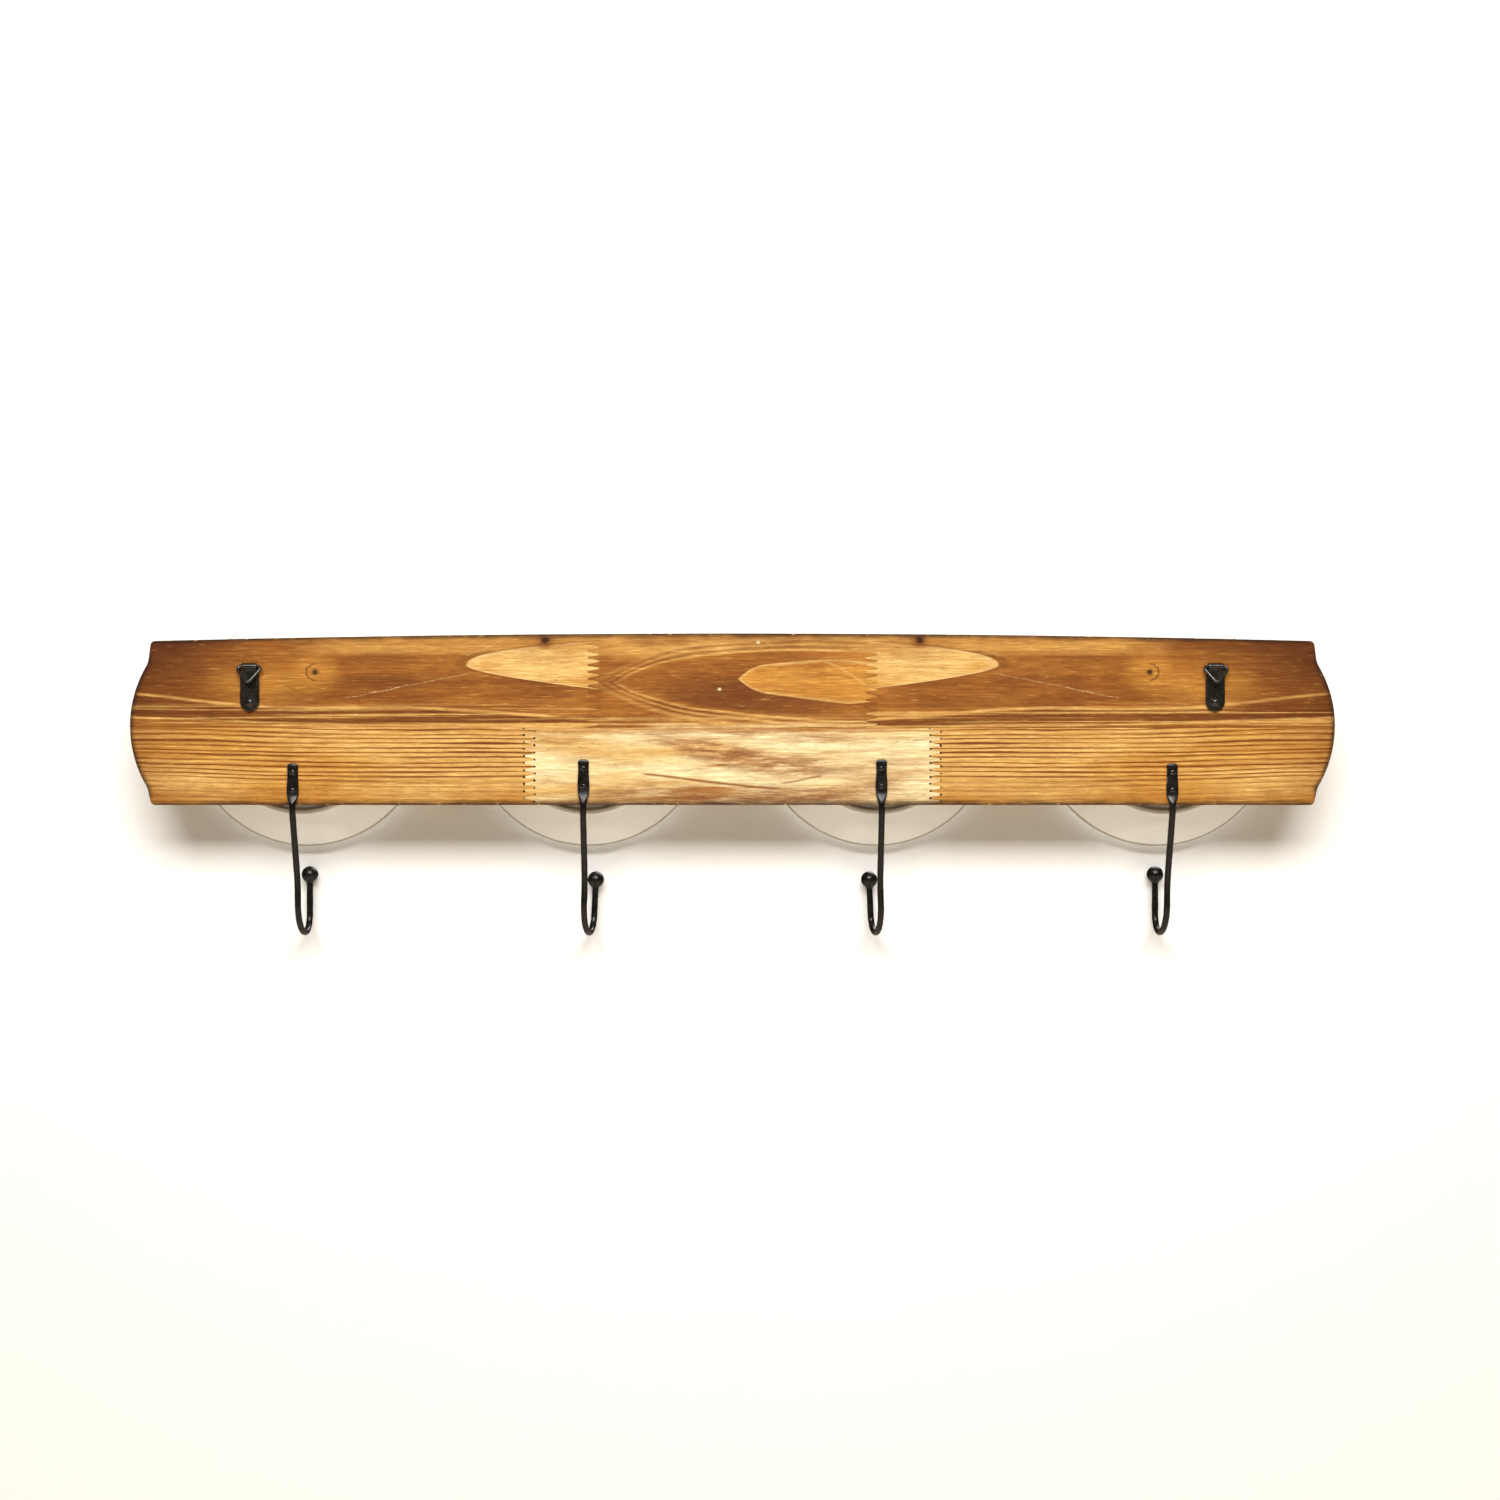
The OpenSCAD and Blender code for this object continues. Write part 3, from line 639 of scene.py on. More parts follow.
def pale_wood(wood, name):
    """Lower strip's middle length: cream, with smoky streaks and a brown lower edge."""
    material, g, place = new_material(name)
    x, _, z = g.split(place)
    smoke = g.grain(place, (13.0, 30.0, 150.0), 5.0, 0.62, (0.9, 0.0, 0.6), 0.4)
    haze = g.grain(place, (7.0, 20.0, 55.0), shift=(2.2, 0.0, 0.1))
    g.tone = g.mix(g.fade(haze, 0.40, 0.66), wood.cream, wood.straw)
    g.coat(g.fade(smoke, 0.50, 0.64) * (g.over(abs(x), 75, 15) * 0.55 + 0.40), wood.tan)
    flecked = g.grain(place, (36.0, 60.0, 300.0), 5.0, 0.72, (0.5, 0.0, 0.2))
    haze_tone = g.mix(g.fade(flecked, 0.45, 0.60), scaled(wood.smoke, 1.6), wood.smoke)
    for at_x, at_z, half_x, half_z, slope, amount in HAZE:
        dx = x - at_x * MM
        far_x = dx / (half_x * MM)
        far_z = (z - at_z * MM - dx * slope) / (half_z * MM)
        patch = g.fade(far_x * far_x + far_z * far_z, 0.0, 1.5, 1.0, 0.0)
        g.coat(patch * g.fade(flecked, 0.38, 0.56, 0.15, 1.0) * amount, haze_tone)
    sag = g.path(x, -104, 104, (-41, -40, -38.5, -36, -34.5, -36, -38.5, -40, -41))
    g.coat(g.over(z - sag + (smoke - 0.5) * (6.0 * MM), 1.2, -1.6, 0.0, 0.35), wood.smoke)
    # A fine brown crack, and a shorter one that curls away from its end
    crack = g.band(z - g.path(x, -45, 30, (-26.5, -29.0, -31.5, -33.5, -35.0)), 0.0, 0.15, 0.9)
    g.coat(crack * (g.over(x, -47, -43) * g.over(x, 20, 34, 1.0, 0.0)) * 0.85, wood.brown)
    curl = g.band(z - g.path(x, 24, 45, (-31.8, -30.2, -27.4)), 0.0, 0.1, 0.8)
    g.coat(curl * (g.over(x, 22, 27) * g.over(x, 44, 46, 1.0, 0.0)) * 0.75, wood.brown)
    top_line = g.fade(z, SEAM - 4.0 * MM, SEAM - 0.4 * MM)
    g.coat(top_line * g.fade(thread_grain(g, place, 0.6), 0.56, 0.46, 0.0, 0.85), wood.tan)
    marks = ((-98, -9.6, -0.18, 9), (-80, -11.6, -0.6, 2.6), (80, -12.6, 0.6, 2.6), (88, -10.8, 0.16, 10))
    scratches(g, place, marks, 0.9, wood.umber)
    finish_wood(g, wood, place, (-LOWER_JOINT, LOWER_JOINT), BOARD_BOTTOM, 0.95, 0.40)
    return material


def black_metal(name, base, bare, wear, roughness, height, gloss=0.36):
    """Black lacquer or plating on steel, with rubbed edges and an uneven sheen."""
    material, g, place = new_material(name)
    worn = g.use(worn_metal, Vector=place, Wear=wear)
    patch = worn["Patch"]
    g.tone = g.mix(g.fade(patch, 0.35, 0.7, 0.0, 0.45), base, scaled(base, 2.2))
    g.coat(worn["Worn"], bare)
    rough = g.get("MapRange", (patch, 0.3, 0.7, roughness - 0.08, roughness + 0.12))
    g.shine(rough, worn["Height"], height, 0.6, Metallic=worn["Worn"] * 0.9, Specular_IOR_Level=gloss)
    return material


def glaze_material(dish, rim_r):
    """Off-white glaze, thin on the rim and bare on the foot ring."""
    material, g, place = new_material("white_glaze")
    x, y, z = g.split(place)
    pool = g.noise(place, 140.0, 3.0)
    cloud = g.fade(g.noise(place, 22.0, 3.0), 0.35, 0.65, 0.0, 0.5)
    g.tone = g.mix(cloud, dish.glaze, scaled(dish.glaze, 0.93))
    g.coat(g.fade(g.noise(place, 900.0, 2.0), 0.70, 0.76) * 0.30, dish.clay)
    foot = g.over(y - BOARD_FRONT, 0.35, 0.75, 1.0, 0.0)
    g.coat(foot, dish.clay)
    # The nearest dish's middle gives how far out on its dish a point lies.
    across = abs(x - middle("dish_1").x)
    for number in HOOKS[1:]:
        across = g.math("MINIMUM", across, abs(x - middle(f"dish_{number}").x))
    up = z - middle("dish_1").z
    worn = g.root(across, up) + (pool - 0.5) * (0.5 * MM)
    lip = g.fade(worn, rim_r - 1.3 * MM, rim_r - 0.7 * MM)
    # Clay shows through the thin glaze on the lip, and is laid far heavier on the lower rim as painted
    # shade.
    g.coat(lip * g.over(up, -20, -45, 0.03, 0.85), dish.lip)
    rough = g.mix(foot, g.get("MapRange", (pool, 0.3, 0.7, 0.10, 0.22)), (0.8, 0.8, 0.8))
    g.shine(rough, pool, 0.10 * MM, 0.35, IOR=1.5, Coat_Weight=0.5, Coat_Roughness=0.06)
    return material


def adhesive_material():
    """Grey mounting adhesive, dull and a little lumpy."""
    material, g, place = new_material("adhesive")
    lump = g.noise(place, 300.0, 4.0)
    g.tone = g.mix(lump, (0.38, 0.39, 0.37), (0.52, 0.53, 0.50))
    g.shine(g.fade(lump, 0.3, 0.7, 0.7, 0.9), lump, 0.3 * MM, 0.6)
    return material


# ---- mesh building ----


FIT_SLACK = 1.0 * MM


def link_mesh(name, bm, material):
    """Turns a bmesh into an object in the scene, with one material."""
    mesh = bpy.data.meshes.new(name)
    bm.to_mesh(mesh)
    bm.free()
    if material:
        mesh.materials.append(material)
    thing = bpy.data.objects.new(name, mesh)
    bpy.context.scene.collection.objects.link(thing)
    return thing


def new_piece(name, bm, material, body, node, sharp):
    """Makes a bmesh a finished piece that stands for a CAD node and rides on its body: smooth but for its
    sharp edges, and inside the node's box."""
    low, high = corners(node)
    for axis in range(3):
        values = [vert.co[axis] for vert in bm.verts]
        if min(values) < low[axis] - FIT_SLACK or max(values) > high[axis] + FIT_SLACK:
            raise RuntimeError(f"{name} reaches {min(values):.5f} to {max(values):.5f} on axis {axis}, "
                               f"and {node} {low[axis]:.5f} to {high[axis]:.5f}")
    bmesh.ops.recalc_face_normals(bm, faces=bm.faces)
    piece = link_mesh(name, bm, material)
    piece.data.shade_smooth()
    piece.data.set_sharp_from_angle(angle=math.radians(sharp))
    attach(piece, body)
    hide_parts(node)
    return piece


def rounded_section(half_w, half_t, corner, count):
    """Points round a rounded rectangle, which is a circle where all three sizes are equal."""
    points = []
    for i in range(count):
        angle = 2 * math.pi * (i + 0.5) / count
        c, s = math.cos(angle), math.sin(angle)
        points.append((math.copysign(half_w - corner, c) + corner * c,
                       math.copysign(half_t - corner, s) + corner * s))
    return points


def eased(t):
    """Goes smoothly from 0 to 1 with t."""
    return t * t * (3 - 2 * t)


def loop_edges(bm, ring):
    """The edges of a closed ring of vertices."""
    return [bm.edges.get((ring[i - 1], ring[i])) for i in range(len(ring))]


def sweep(stations, closed=False):
    """Extrudes a ring of vertices from station to station. A station gives the ring's points in space."""
    bm = bmesh.new()
    ring = list(bmesh.ops.create_circle(bm, segments=len(stations[0]), radius=1.0)["verts"])
    for vert, point in zip(ring, stations[0]):
        vert.co = point
    start_edges = edges = loop_edges(bm, ring)
    for station in stations[1:]:
        grown = bmesh.ops.extrude_edge_only(bm, edges=edges)["geom"]
        partner = {}
        for vert in (v for v in grown if isinstance(v, bmesh.types.BMVert)):
            for edge in vert.link_edges:
                if edge.other_vert(vert) in ring:
                    partner[edge.other_vert(vert)] = vert
        ring = [partner[vert] for vert in ring]
        for vert, point in zip(ring, station):
            vert.co = point
        edges = loop_edges(bm, ring)
    if closed:
        bmesh.ops.bridge_loops(bm, edges=start_edges + edges)
    else:
        for loop in (start_edges, edges):
            bmesh.ops.edgeloop_fill(bm, edges=loop)
    return bm


def spun(profile, turns, axis, centre):
    """A closed solid made by spinning a profile of (radius, height) points, whose ends are on the axis."""
    bm = bmesh.new()
    axis = Vector(axis).normalized()
    side = axis.orthogonal().normalized()
    verts = [bm.verts.new(Vector(centre) + side * radius + axis * height) for radius, height in profile]
    edges = [bm.edges.new(pair) for pair in zip(verts, verts[1:])]
    bmesh.ops.spin(bm, geom=verts + edges, cent=centre, axis=axis, dvec=(0, 0, 0), angle=2 * math.pi,
                   steps=turns, use_merge=True, use_normal_flip=False, use_duplicate=False)
    bmesh.ops.remove_doubles(bm, verts=bm.verts, dist=1e-6)
    bmesh.ops.recalc_face_normals(bm, faces=bm.faces)
    return bm


# ---- board ----

# How near two places count as the same
NEAR = 0.05 * MM
# The joints' fingers lie nearer to the middle than this, and the screw bores than this
JOINTS_END = 190 * MM
BORES_END = 270 * MM


def is_outline(edge):
    """True for an edge between the back or front face and the board's outline, away from its joints."""
    if len(edge.link_faces) != 2:
        return False
    facing = [abs(face.normal.y) for face in edge.link_faces]
    if max(facing) < 0.99 or min(facing) > 0.01:
        return False
    side_face = edge.link_faces[0] if facing[0] < facing[1] else edge.link_faces[1]
    spot = (edge.verts[0].co + edge.verts[1].co) / 2
    if abs(spot.z - SEAM) < NEAR and abs(side_face.normal.z) > 0.99:
        return False
    if abs(spot.x) < JOINTS_END and abs(side_face.normal.z) < 0.98:
        return False
    # The screw bores' edges are short and well inside the outline.
    inside = BOARD_BOTTOM + 3 * MM < spot.z < BOARD_TOP - 9 * MM and abs(spot.x) < BORES_END
    return not inside or abs(side_face.normal.z) > 0.999 and edge.calc_length() > 5 * MM


# How far a finger's tip stands from the middle of its joint, and the gap that glue has filled
TIP_AT = 2.4 * MM
TIP_GAP = 0.46 * MM


def close_tips(bm):
    """Draws out the tips of the upper strip's fingers until they meet the wood across the joint."""
    for joint_x in (-UPPER_JOINT, UPPER_JOINT):
        for way in (-1.0, 1.0):
            tips = [v for v in bm.verts if abs(v.co.x - joint_x - way * TIP_AT) < NEAR]
            bmesh.ops.translate(bm, vec=(way * TIP_GAP, 0.0, 0.0), verts=tips)


def build_length(node, wood, material):
    """One glued-up length of the board, from its CAD solid, with its outer edges sanded round."""
    bm = bmesh.new()
    bm.from_mesh(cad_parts[node].data)
    bmesh.ops.remove_doubles(bm, verts=bm.verts, dist=1e-6)
    bmesh.ops.dissolve_limit(bm, angle_limit=math.radians(0.05), verts=bm.verts, edges=bm.edges)
    # The two faces are made exactly flat, so that they shade evenly.
    for corner in corners(node):
        for vert in bm.verts:
            if abs(vert.co.y - corner.y) < NEAR:
                vert.co.y = corner.y
    if node.startswith("upper"):
        close_tips(bm)
    outline = [edge for edge in bm.edges if is_outline(edge)]
    bmesh.ops.bevel(bm, geom=outline, offset=wood.edge_round, offset_type="OFFSET", affect="EDGES",
                    segments=3, profile=0.5, material=-1, clamp_overlap=True)
    bmesh.ops.triangulate(bm, faces=[face for face in bm.faces if len(face.verts) > 4])
    piece = new_piece("board_" + node, bm, material, BODY, node, 28.0)
    for face in piece.data.polygons:
        if abs(face.normal.y) > 0.999:
            face.use_smooth = False


class RACK_OT_board(bpy.types.Operator):
    """Build the six finger-jointed lengths of the board"""

    bl_idname = "rack.board"
    bl_label = "Board"

    def execute(self, context):
        wood = context.scene.rack_wood
        strips = (("upper", brown_wood, "brown_wood", figured_wood, "figured_wood"),
                  ("lower", golden_wood, "golden_wood", pale_wood, "pale_wood"))
        for strip, end_wood, end_slot, middle_wood, middle_slot in strips:
            build_length(f"{strip}_left", wood, end_wood(wood, f"{end_slot}_left", -1.0))
            build_length(f"{strip}_middle", wood, middle_wood(wood, middle_slot))
            build_length(f"{strip}_right", wood, end_wood(wood, f"{end_slot}_right", 1.0))
        return {"FINISHED"}


# ---- hooks ----

WIRE_R = 1.6 * MM
PLATE_HALF = 3.0 * MM
PLATE_T = 1.5 * MM
PLATE_L = 15.5 * MM
OUT_BEND = 20 * MM
BACK_BEND = 60 * MM
LEG_LENGTH = 28 * MM
LEAN = math.radians(17)
THROAT_BACK = 17 * MM
THROAT_FRONT = 9 * MM
RETURN = {1: 20.5 * MM, 2: 18.0 * MM, 3: 18.0 * MM, 4: 20.5 * MM}
BALL_R = 4.3 * MM
HOOK_TILT = {1: 0.0, 2: math.radians(2.5), 3: math.radians(-2.5), 4: 0.0}
HOOK_TWIST = {1: 0.0, 2: math.radians(-8), 3: math.radians(8), 4: 0.0}
WIRE_SIDES = 24


def hook_place(number):
    """Matrix that puts a leg's own frame at the board's lower edge, tilted and twisted as that hook is."""
    x = middle(f"hook_screws_{number}").x
    return (Matrix.Translation((x, -WIRE_R, BOARD_BOTTOM)) @ Matrix.Rotation(HOOK_TILT[number], 4, "Y")
            @ Matrix.Rotation(HOOK_TWIST[number], 4, "Z"))


def bend(line, radius, heading, steps):
    """Carries a wire's centreline round an arc to a new heading."""
    y, z, start = line[-1]
    radius = math.copysign(radius, heading - start)
    for k in range(1, steps + 1):
        a = start + (heading - start) * k / steps
        line.append((y + radius * (math.cos(start) - math.cos(a)),
                     z - radius * (math.sin(a) - math.sin(start)), a))


def straight(line, reach, steps):
    """Carries a wire's centreline straight on."""
    y, z, a = line[-1]
    for k in range(1, steps + 1):
        run = reach * k / steps
        line.append((y + run * math.sin(a), z - run * math.cos(a), a))


def leg_stations(returned):
    """Centreline of a hook's leg as (forward, height, heading), from the board's edge to the ball. A heading
    of 0 is straight down, and one of pi straight up."""
    line = [(0.0, 0.0, 0.0)]
    bend(line, OUT_BEND, LEAN, 6)
    straight(line, LEG_LENGTH, 14)
    bend(line, BACK_BEND, 0.0, 8)
    bend(line, THROAT_BACK, math.pi / 2, 18)
    bend(line, THROAT_FRONT, math.pi, 16)
    y, z = line[-1][:2]
    straight(line, returned - BALL_R * 0.6, 6)
    return line, (y, z + returned)


def top_stations(top_z):
    """The flattened top as (forward, height, half width, half thickness, corner), in the leg's own frame."""
    up = top_z - BOARD_BOTTOM
    foot = up - PLATE_L
    plate_y = WIRE_R - PLATE_T / 2
    # Down, in from the side, share of the thickness and corner of the top's rounded end
    rows = [(plate_y, up - down * MM, PLATE_HALF - back * MM, PLATE_T * share, corner * MM)
            for down, back, share, corner in ((0.0, 1.5, 0.30, 0.3), (0.25, 1.0, 0.44, 0.4),
                                              (0.9, 0.35, 0.5, 0.45), (1.6, 0.15, 0.5, 0.45))]
    for k in range(1, 9):
        swell = 0.18 * MM * math.cos(math.pi * (k / 8 - 0.85) * 1.6)
        rows.append((plate_y, up - 1.6 * MM - (PLATE_L - 1.6 * MM) * k / 8, PLATE_HALF - 0.18 * MM + swell,
                     PLATE_T * 0.5, 0.45 * MM))
    for k in range(1, 8):
        s = eased(k / 8)
        rows.append((plate_y * (1 - s), foot * (1 - k / 8), PLATE_HALF + (WIRE_R - PLATE_HALF) * s,
                     PLATE_T * 0.5 + (WIRE_R - PLATE_T * 0.5) * s, 0.45 * MM + (WIRE_R - 0.45 * MM) * s))
    return rows


def hook_rings(number, hammer):
    """Every ring of a hook's wire, from its top to its ball, in the rack's frame."""
    place = hook_place(number)
    # The flattened top lies square to the board, however its leg is turned.
    still = Matrix.Translation(place.translation)
    rings = []
    for forward, height, half_w, half_t, corner in top_stations(corners(f"hook_wire_{number}")[1].z):
        section = rounded_section(half_w, half_t, corner, WIRE_SIDES)
        rings.append([still @ Vector((u, forward + v, height)) for u, v in section])
    stations, ball = leg_stations(RETURN[number])
    for row, (forward, height, heading) in enumerate(stations):
        grip = 1 + hammer / WIRE_R * noise.noise(Vector((row * 0.45, number * 7.3, 0.5)))
        section = rounded_section(WIRE_R * grip, WIRE_R / grip, WIRE_R * min(grip, 1 / grip), WIRE_SIDES)
        rings.append([place @ Vector((u, forward + v * math.cos(heading), height + v * math.sin(heading)))
                      for u, v in section])
    return rings, place, ball


def ball_profile():
    """Half section of the ball with the small collar where it is drawn onto the wire."""
    profile = [(0.0, BALL_R * 0.985)]
    for k in range(1, 25):
        a = math.radians(90 - k * 6.2)
        profile.append((BALL_R * math.cos(a), BALL_R * math.sin(a)))
    neck = WIRE_R + 0.25 * MM
    return profile + [(neck + 0.15 * MM, -BALL_R * 0.93), (neck, -BALL_R * 1.02), (0.0, -BALL_R * 1.02)]


class RACK_OT_hooks(bpy.types.Operator):
    """Build the four forged wire hooks and their balls"""

    bl_idname = "rack.hooks"
    bl_label = "Hooks"

    def execute(self, context):
        metal = context.scene.rack_metal
        black = black_metal("black_iron", metal.black, metal.bare, 0.35, 0.27, 0.10 * MM)
        for number in HOOKS:
            rings, place, (forward, height) = hook_rings(number, metal.hammer)
            new_piece(f"wire_{number}", sweep(rings), black, BODY, f"hook_wire_{number}", 50.0)
            bm = spun(ball_profile(), 48, (0, 0, 1), (0, 0, 0))
            # A forged ball is a little out of round.
            for vert in bm.verts:
                vert.co *= 1 + 0.012 * noise.noise(vert.co * 420 + Vector((number, 0, 0)))
            bmesh.ops.transform(bm, matrix=place @ Matrix.Translation((0, forward, height)), verts=bm.verts)
            new_piece(f"ball_{number}", bm, black, BODY, f"hook_ball_{number}", 50.0)
        return {"FINISHED"}


# ---- screws ----


def dome_profile(head_r, head_h, shank_r, shank_l):
    """Half section of a dome-head screw, from the top of its head to its tip."""
    cap_r = (head_r * head_r + head_h * head_h) / (2 * head_h)
    reach = math.asin(min(1.0, head_r / cap_r)) if head_h < head_r else math.pi / 2
    profile = []
    for k in range(11):
        a = reach * 0.97 * k / 10
        profile.append((cap_r * math.sin(a), head_h - cap_r * (1 - math.cos(a))))
    return profile + [(head_r, 0.06 * MM), (head_r * 0.97, 0.0), (shank_r, 0.0), (shank_r, -shank_l * 0.85),
                      (0.0, -shank_l)]


def cross_cutter(size, depth, top):
    """Two tapered bars that cut a cross recess from the top of a screw's head, along +Z."""
    bm = bmesh.new()
    for turn in (0.0, math.pi / 2):
        made = bmesh.ops.create_cube(bm, size=1.0)["verts"]
        for vert in made:
            foot = 0.5 if vert.co.z < 0 else 1.0
            height = top - depth + (vert.co.z + 0.5) * 2 * depth
            vert.co = Vector((vert.co.x * size * foot, vert.co.y * size * 0.24, height))
        bmesh.ops.rotate(bm, cent=(0, 0, 0), matrix=Matrix.Rotation(turn, 3, "Z"), verts=made)
    return bm


def screw_mesh(head_r, head_h, shank_r, shank_l):
    """Bmesh of one screw at the origin, its head towards +Z, with a cross recess."""
    bm = spun(dome_profile(head_r, head_h, shank_r, shank_l), 40, (0, 0, 1), (0, 0, 0))
    blank = link_mesh("screw_blank", bm, None)
    tool = link_mesh("cross_blank", cross_cutter(head_r * 1.15, head_h * 0.55, head_h), None)
    cut = blank.modifiers.new("Cross", "BOOLEAN")
    cut.operation = "DIFFERENCE"
    cut.solver = "EXACT"
    cut.use_self = True
    cut.object = tool
    bm = bmesh.new()
    bm.from_object(blank, bpy.context.evaluated_depsgraph_get())
    for thing in (blank, tool):
        bpy.data.meshes.remove(thing.data)
    return bm


class RACK_OT_screws(bpy.types.Operator):
    """Build the screws of the hooks and hangers"""

    bl_idname = "rack.screws"
    bl_label = "Screws"

    def execute(self, context):
        metal = context.scene.rack_metal
        black = black_metal("black_screw", scaled(metal.black, 1.6), metal.bare, 0.9, 0.24, 0.05 * MM, 0.6)
        jobs = []
        for number in HOOKS:
            low, high = corners(f"hook_screws_{number}")
            head_r = (high.x - low.x) / 2
            spots = [Vector(((low.x + high.x) / 2, -PLATE_T, z)) for z in (low.z + head_r, high.z - head_r)]
            node = f"hook_screws_{number}"
            jobs.append((f"screws_hook_{number}", node, spots, head_r, 1.1 * MM, 1.0 * MM))
        for side in SIDES:
            low, high = corners(f"hanger_screw_{side}")
            head_r = (high.x - low.x) / 2
            spots = [Vector(((low.x + high.x) / 2, -2 * STRIP_T, (low.z + high.z) / 2))]
            jobs.append((f"screw_hanger_{side}", f"hanger_screw_{side}", spots, head_r, 1.5 * MM, 1.2 * MM))
        for name, node, spots, head_r, head_h, shank_r in jobs:
            bm = bmesh.new()
            for index, spot in enumerate(spots):
                shank_l = corners(node)[1].y - spot.y
                one = screw_mesh(head_r, head_h, shank_r, shank_l)
                # Each cross recess stopped at its own angle.
                turn = Matrix.Rotation(0.7 + 1.3 * index + spot.x * 9, 4, "Z")
                place = Matrix.Translation(spot) @ Matrix.Rotation(math.radians(90), 4, "X") @ turn
                bmesh.ops.transform(one, matrix=place, verts=one.verts)
                hold = bpy.data.meshes.new("hold")
                one.to_mesh(hold)
                one.free()
                bm.from_mesh(hold)
                bpy.data.meshes.remove(hold)
            new_piece(name, bm, black, BODY, node, 30.0)
        return {"FINISHED"}


# ---- dishes ----

FOOT_R = 45.5 * MM


def dish_profile(foot_r, rim_r, height):
    """Half section of a dish as (radius, height above the board), from under its middle to its floor."""
    foot_w, foot_h, wall = 3.0 * MM, 2.0 * MM, 3.6 * MM
    lip = wall / 2
    inside, ledge = foot_r - foot_w, foot_h - 0.4 * MM
    profile = [(0.0, foot_h), (foot_r * 0.5, foot_h - 0.1 * MM), (inside - 1.2 * MM, foot_h - 0.1 * MM),
               (inside - 0.2 * MM, ledge), (inside + 0.3 * MM, 0.4 * MM), (inside + 0.9 * MM, 0.05 * MM),
               (foot_r - 0.9 * MM, 0.05 * MM), (foot_r - 0.25 * MM, 0.4 * MM), (foot_r, 1.0 * MM),
               (foot_r + 0.35 * MM, ledge)]
    # The flare swells a little between foot and rim.
    for k in range(1, 12):
        t = k / 12
        swell = 0.5 * MM * math.sin(math.pi * t)
        profile.append((foot_r + 0.35 * MM + (rim_r - foot_r - 0.35 * MM) * t + swell * 0.7,
                        ledge + (height - lip - ledge) * t - swell * 0.7))
    for k in range(0, 9):
        a = math.radians(-10 + 200 * k / 8)
        profile.append((rim_r - lip + lip * math.cos(a), height - lip + lip * math.sin(a)))
    inner_r = foot_r - 1.2 * MM
    for k in range(1, 12):
        t = k / 12
        sag = 1.2 * MM * math.sin(math.pi * t) * t
        profile.append((rim_r - wall + (inner_r - rim_r + wall) * t - sag * 0.2,
                        height - lip + (foot_h + wall - height + lip) * t + sag))
    floor = foot_h + wall
    return profile + [(inner_r - 4 * MM, floor + 0.35 * MM), (inner_r - 10 * MM, floor),
                      (0.0, floor - 0.3 * MM)]


class RACK_OT_dishes(bpy.types.Operator):
    """Build the four glazed dishes, and dress the adhesive behind them"""

    bl_idname = "rack.dishes"
    bl_label = "Dishes"

    def execute(self, context):
        dish = context.scene.rack_dish
        low, high = corners("dish_1")
        glaze = glaze_material(dish, (high.x - low.x) / 2)
        adhesive = adhesive_material()
        for number in HOOKS:
            node = f"dish_{number}"
            low, high = corners(node)
            centre = Vector(((low.x + high.x) / 2, low.y, (low.z + high.z) / 2))
            profile = dish_profile(FOOT_R, (high.x - low.x) / 2, high.y - low.y)
            bm = spun(profile, dish.turns, (0, 1, 0), centre)
            new_piece(f"glazed_dish_{number}", bm, glaze, BODY, node, 60.0)
            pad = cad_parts[f"dish_bond_{number}"]
            pad.data.materials.clear()
            pad.data.materials.append(adhesive)
        return {"FINISHED"}


# ---- hangers ----

STRIP_T = 0.8 * MM
LOOP_IN = 0.96 * MM
HINGE_Y = -(LOOP_IN + STRIP_T)
RING_R = 0.9 * MM
RING_REST = math.radians(24)
CORNER_BEND = 1.5 * MM
APEX_BEND = 1.6 * MM
APEX_DROP = 8.6 * MM
RING_HALF = 6.4 * MM
RING_SIDES = 20
# How far the strap is wound round the ring's bar, its half width there, and how far below it narrows
LOOP_TURN = math.radians(232)
LOOP_HALF = 3.7 * MM
NECK_DROP = 3.4 * MM


def fold_path(foot_z, hinge_z):
    """The strap's middle line as (y, z): up the board, round the ring's bar and down over itself."""
    back, front, loop_r = -STRIP_T / 2, -1.5 * STRIP_T, LOOP_IN + STRIP_T / 2
    line = [(back, foot_z + (hinge_z - foot_z) * k / 16) for k in range(17)]
    for k in range(1, 17):
        a = LOOP_TURN * k / 16
        line.append((HINGE_Y + loop_r * math.cos(a), hinge_z + loop_r * math.sin(a)))
    bend_z = line[-1][1]
    line.append((front - 0.25 * MM, bend_z - 0.55 * MM))
    line.append((front - 0.02 * MM, bend_z - 1.2 * MM))
    low = bend_z - 1.6 * MM
    line += [(front, low + (foot_z - low) * k / 14) for k in range(15)]
    return line


def strap_half_width(z, foot_z, hinge_z, half_w):
    """Half width of the strap at a height: round at its foot and narrower in its loop."""
    if z < foot_z + half_w:
        below = foot_z + half_w - z
        return math.sqrt(max(0.0, half_w * half_w - below * below))
    neck = hinge_z - NECK_DROP
    t = min(1.0, max(0.0, (z - neck) / (0.9 * MM)))
    return half_w + (LOOP_HALF - half_w) * eased(t)


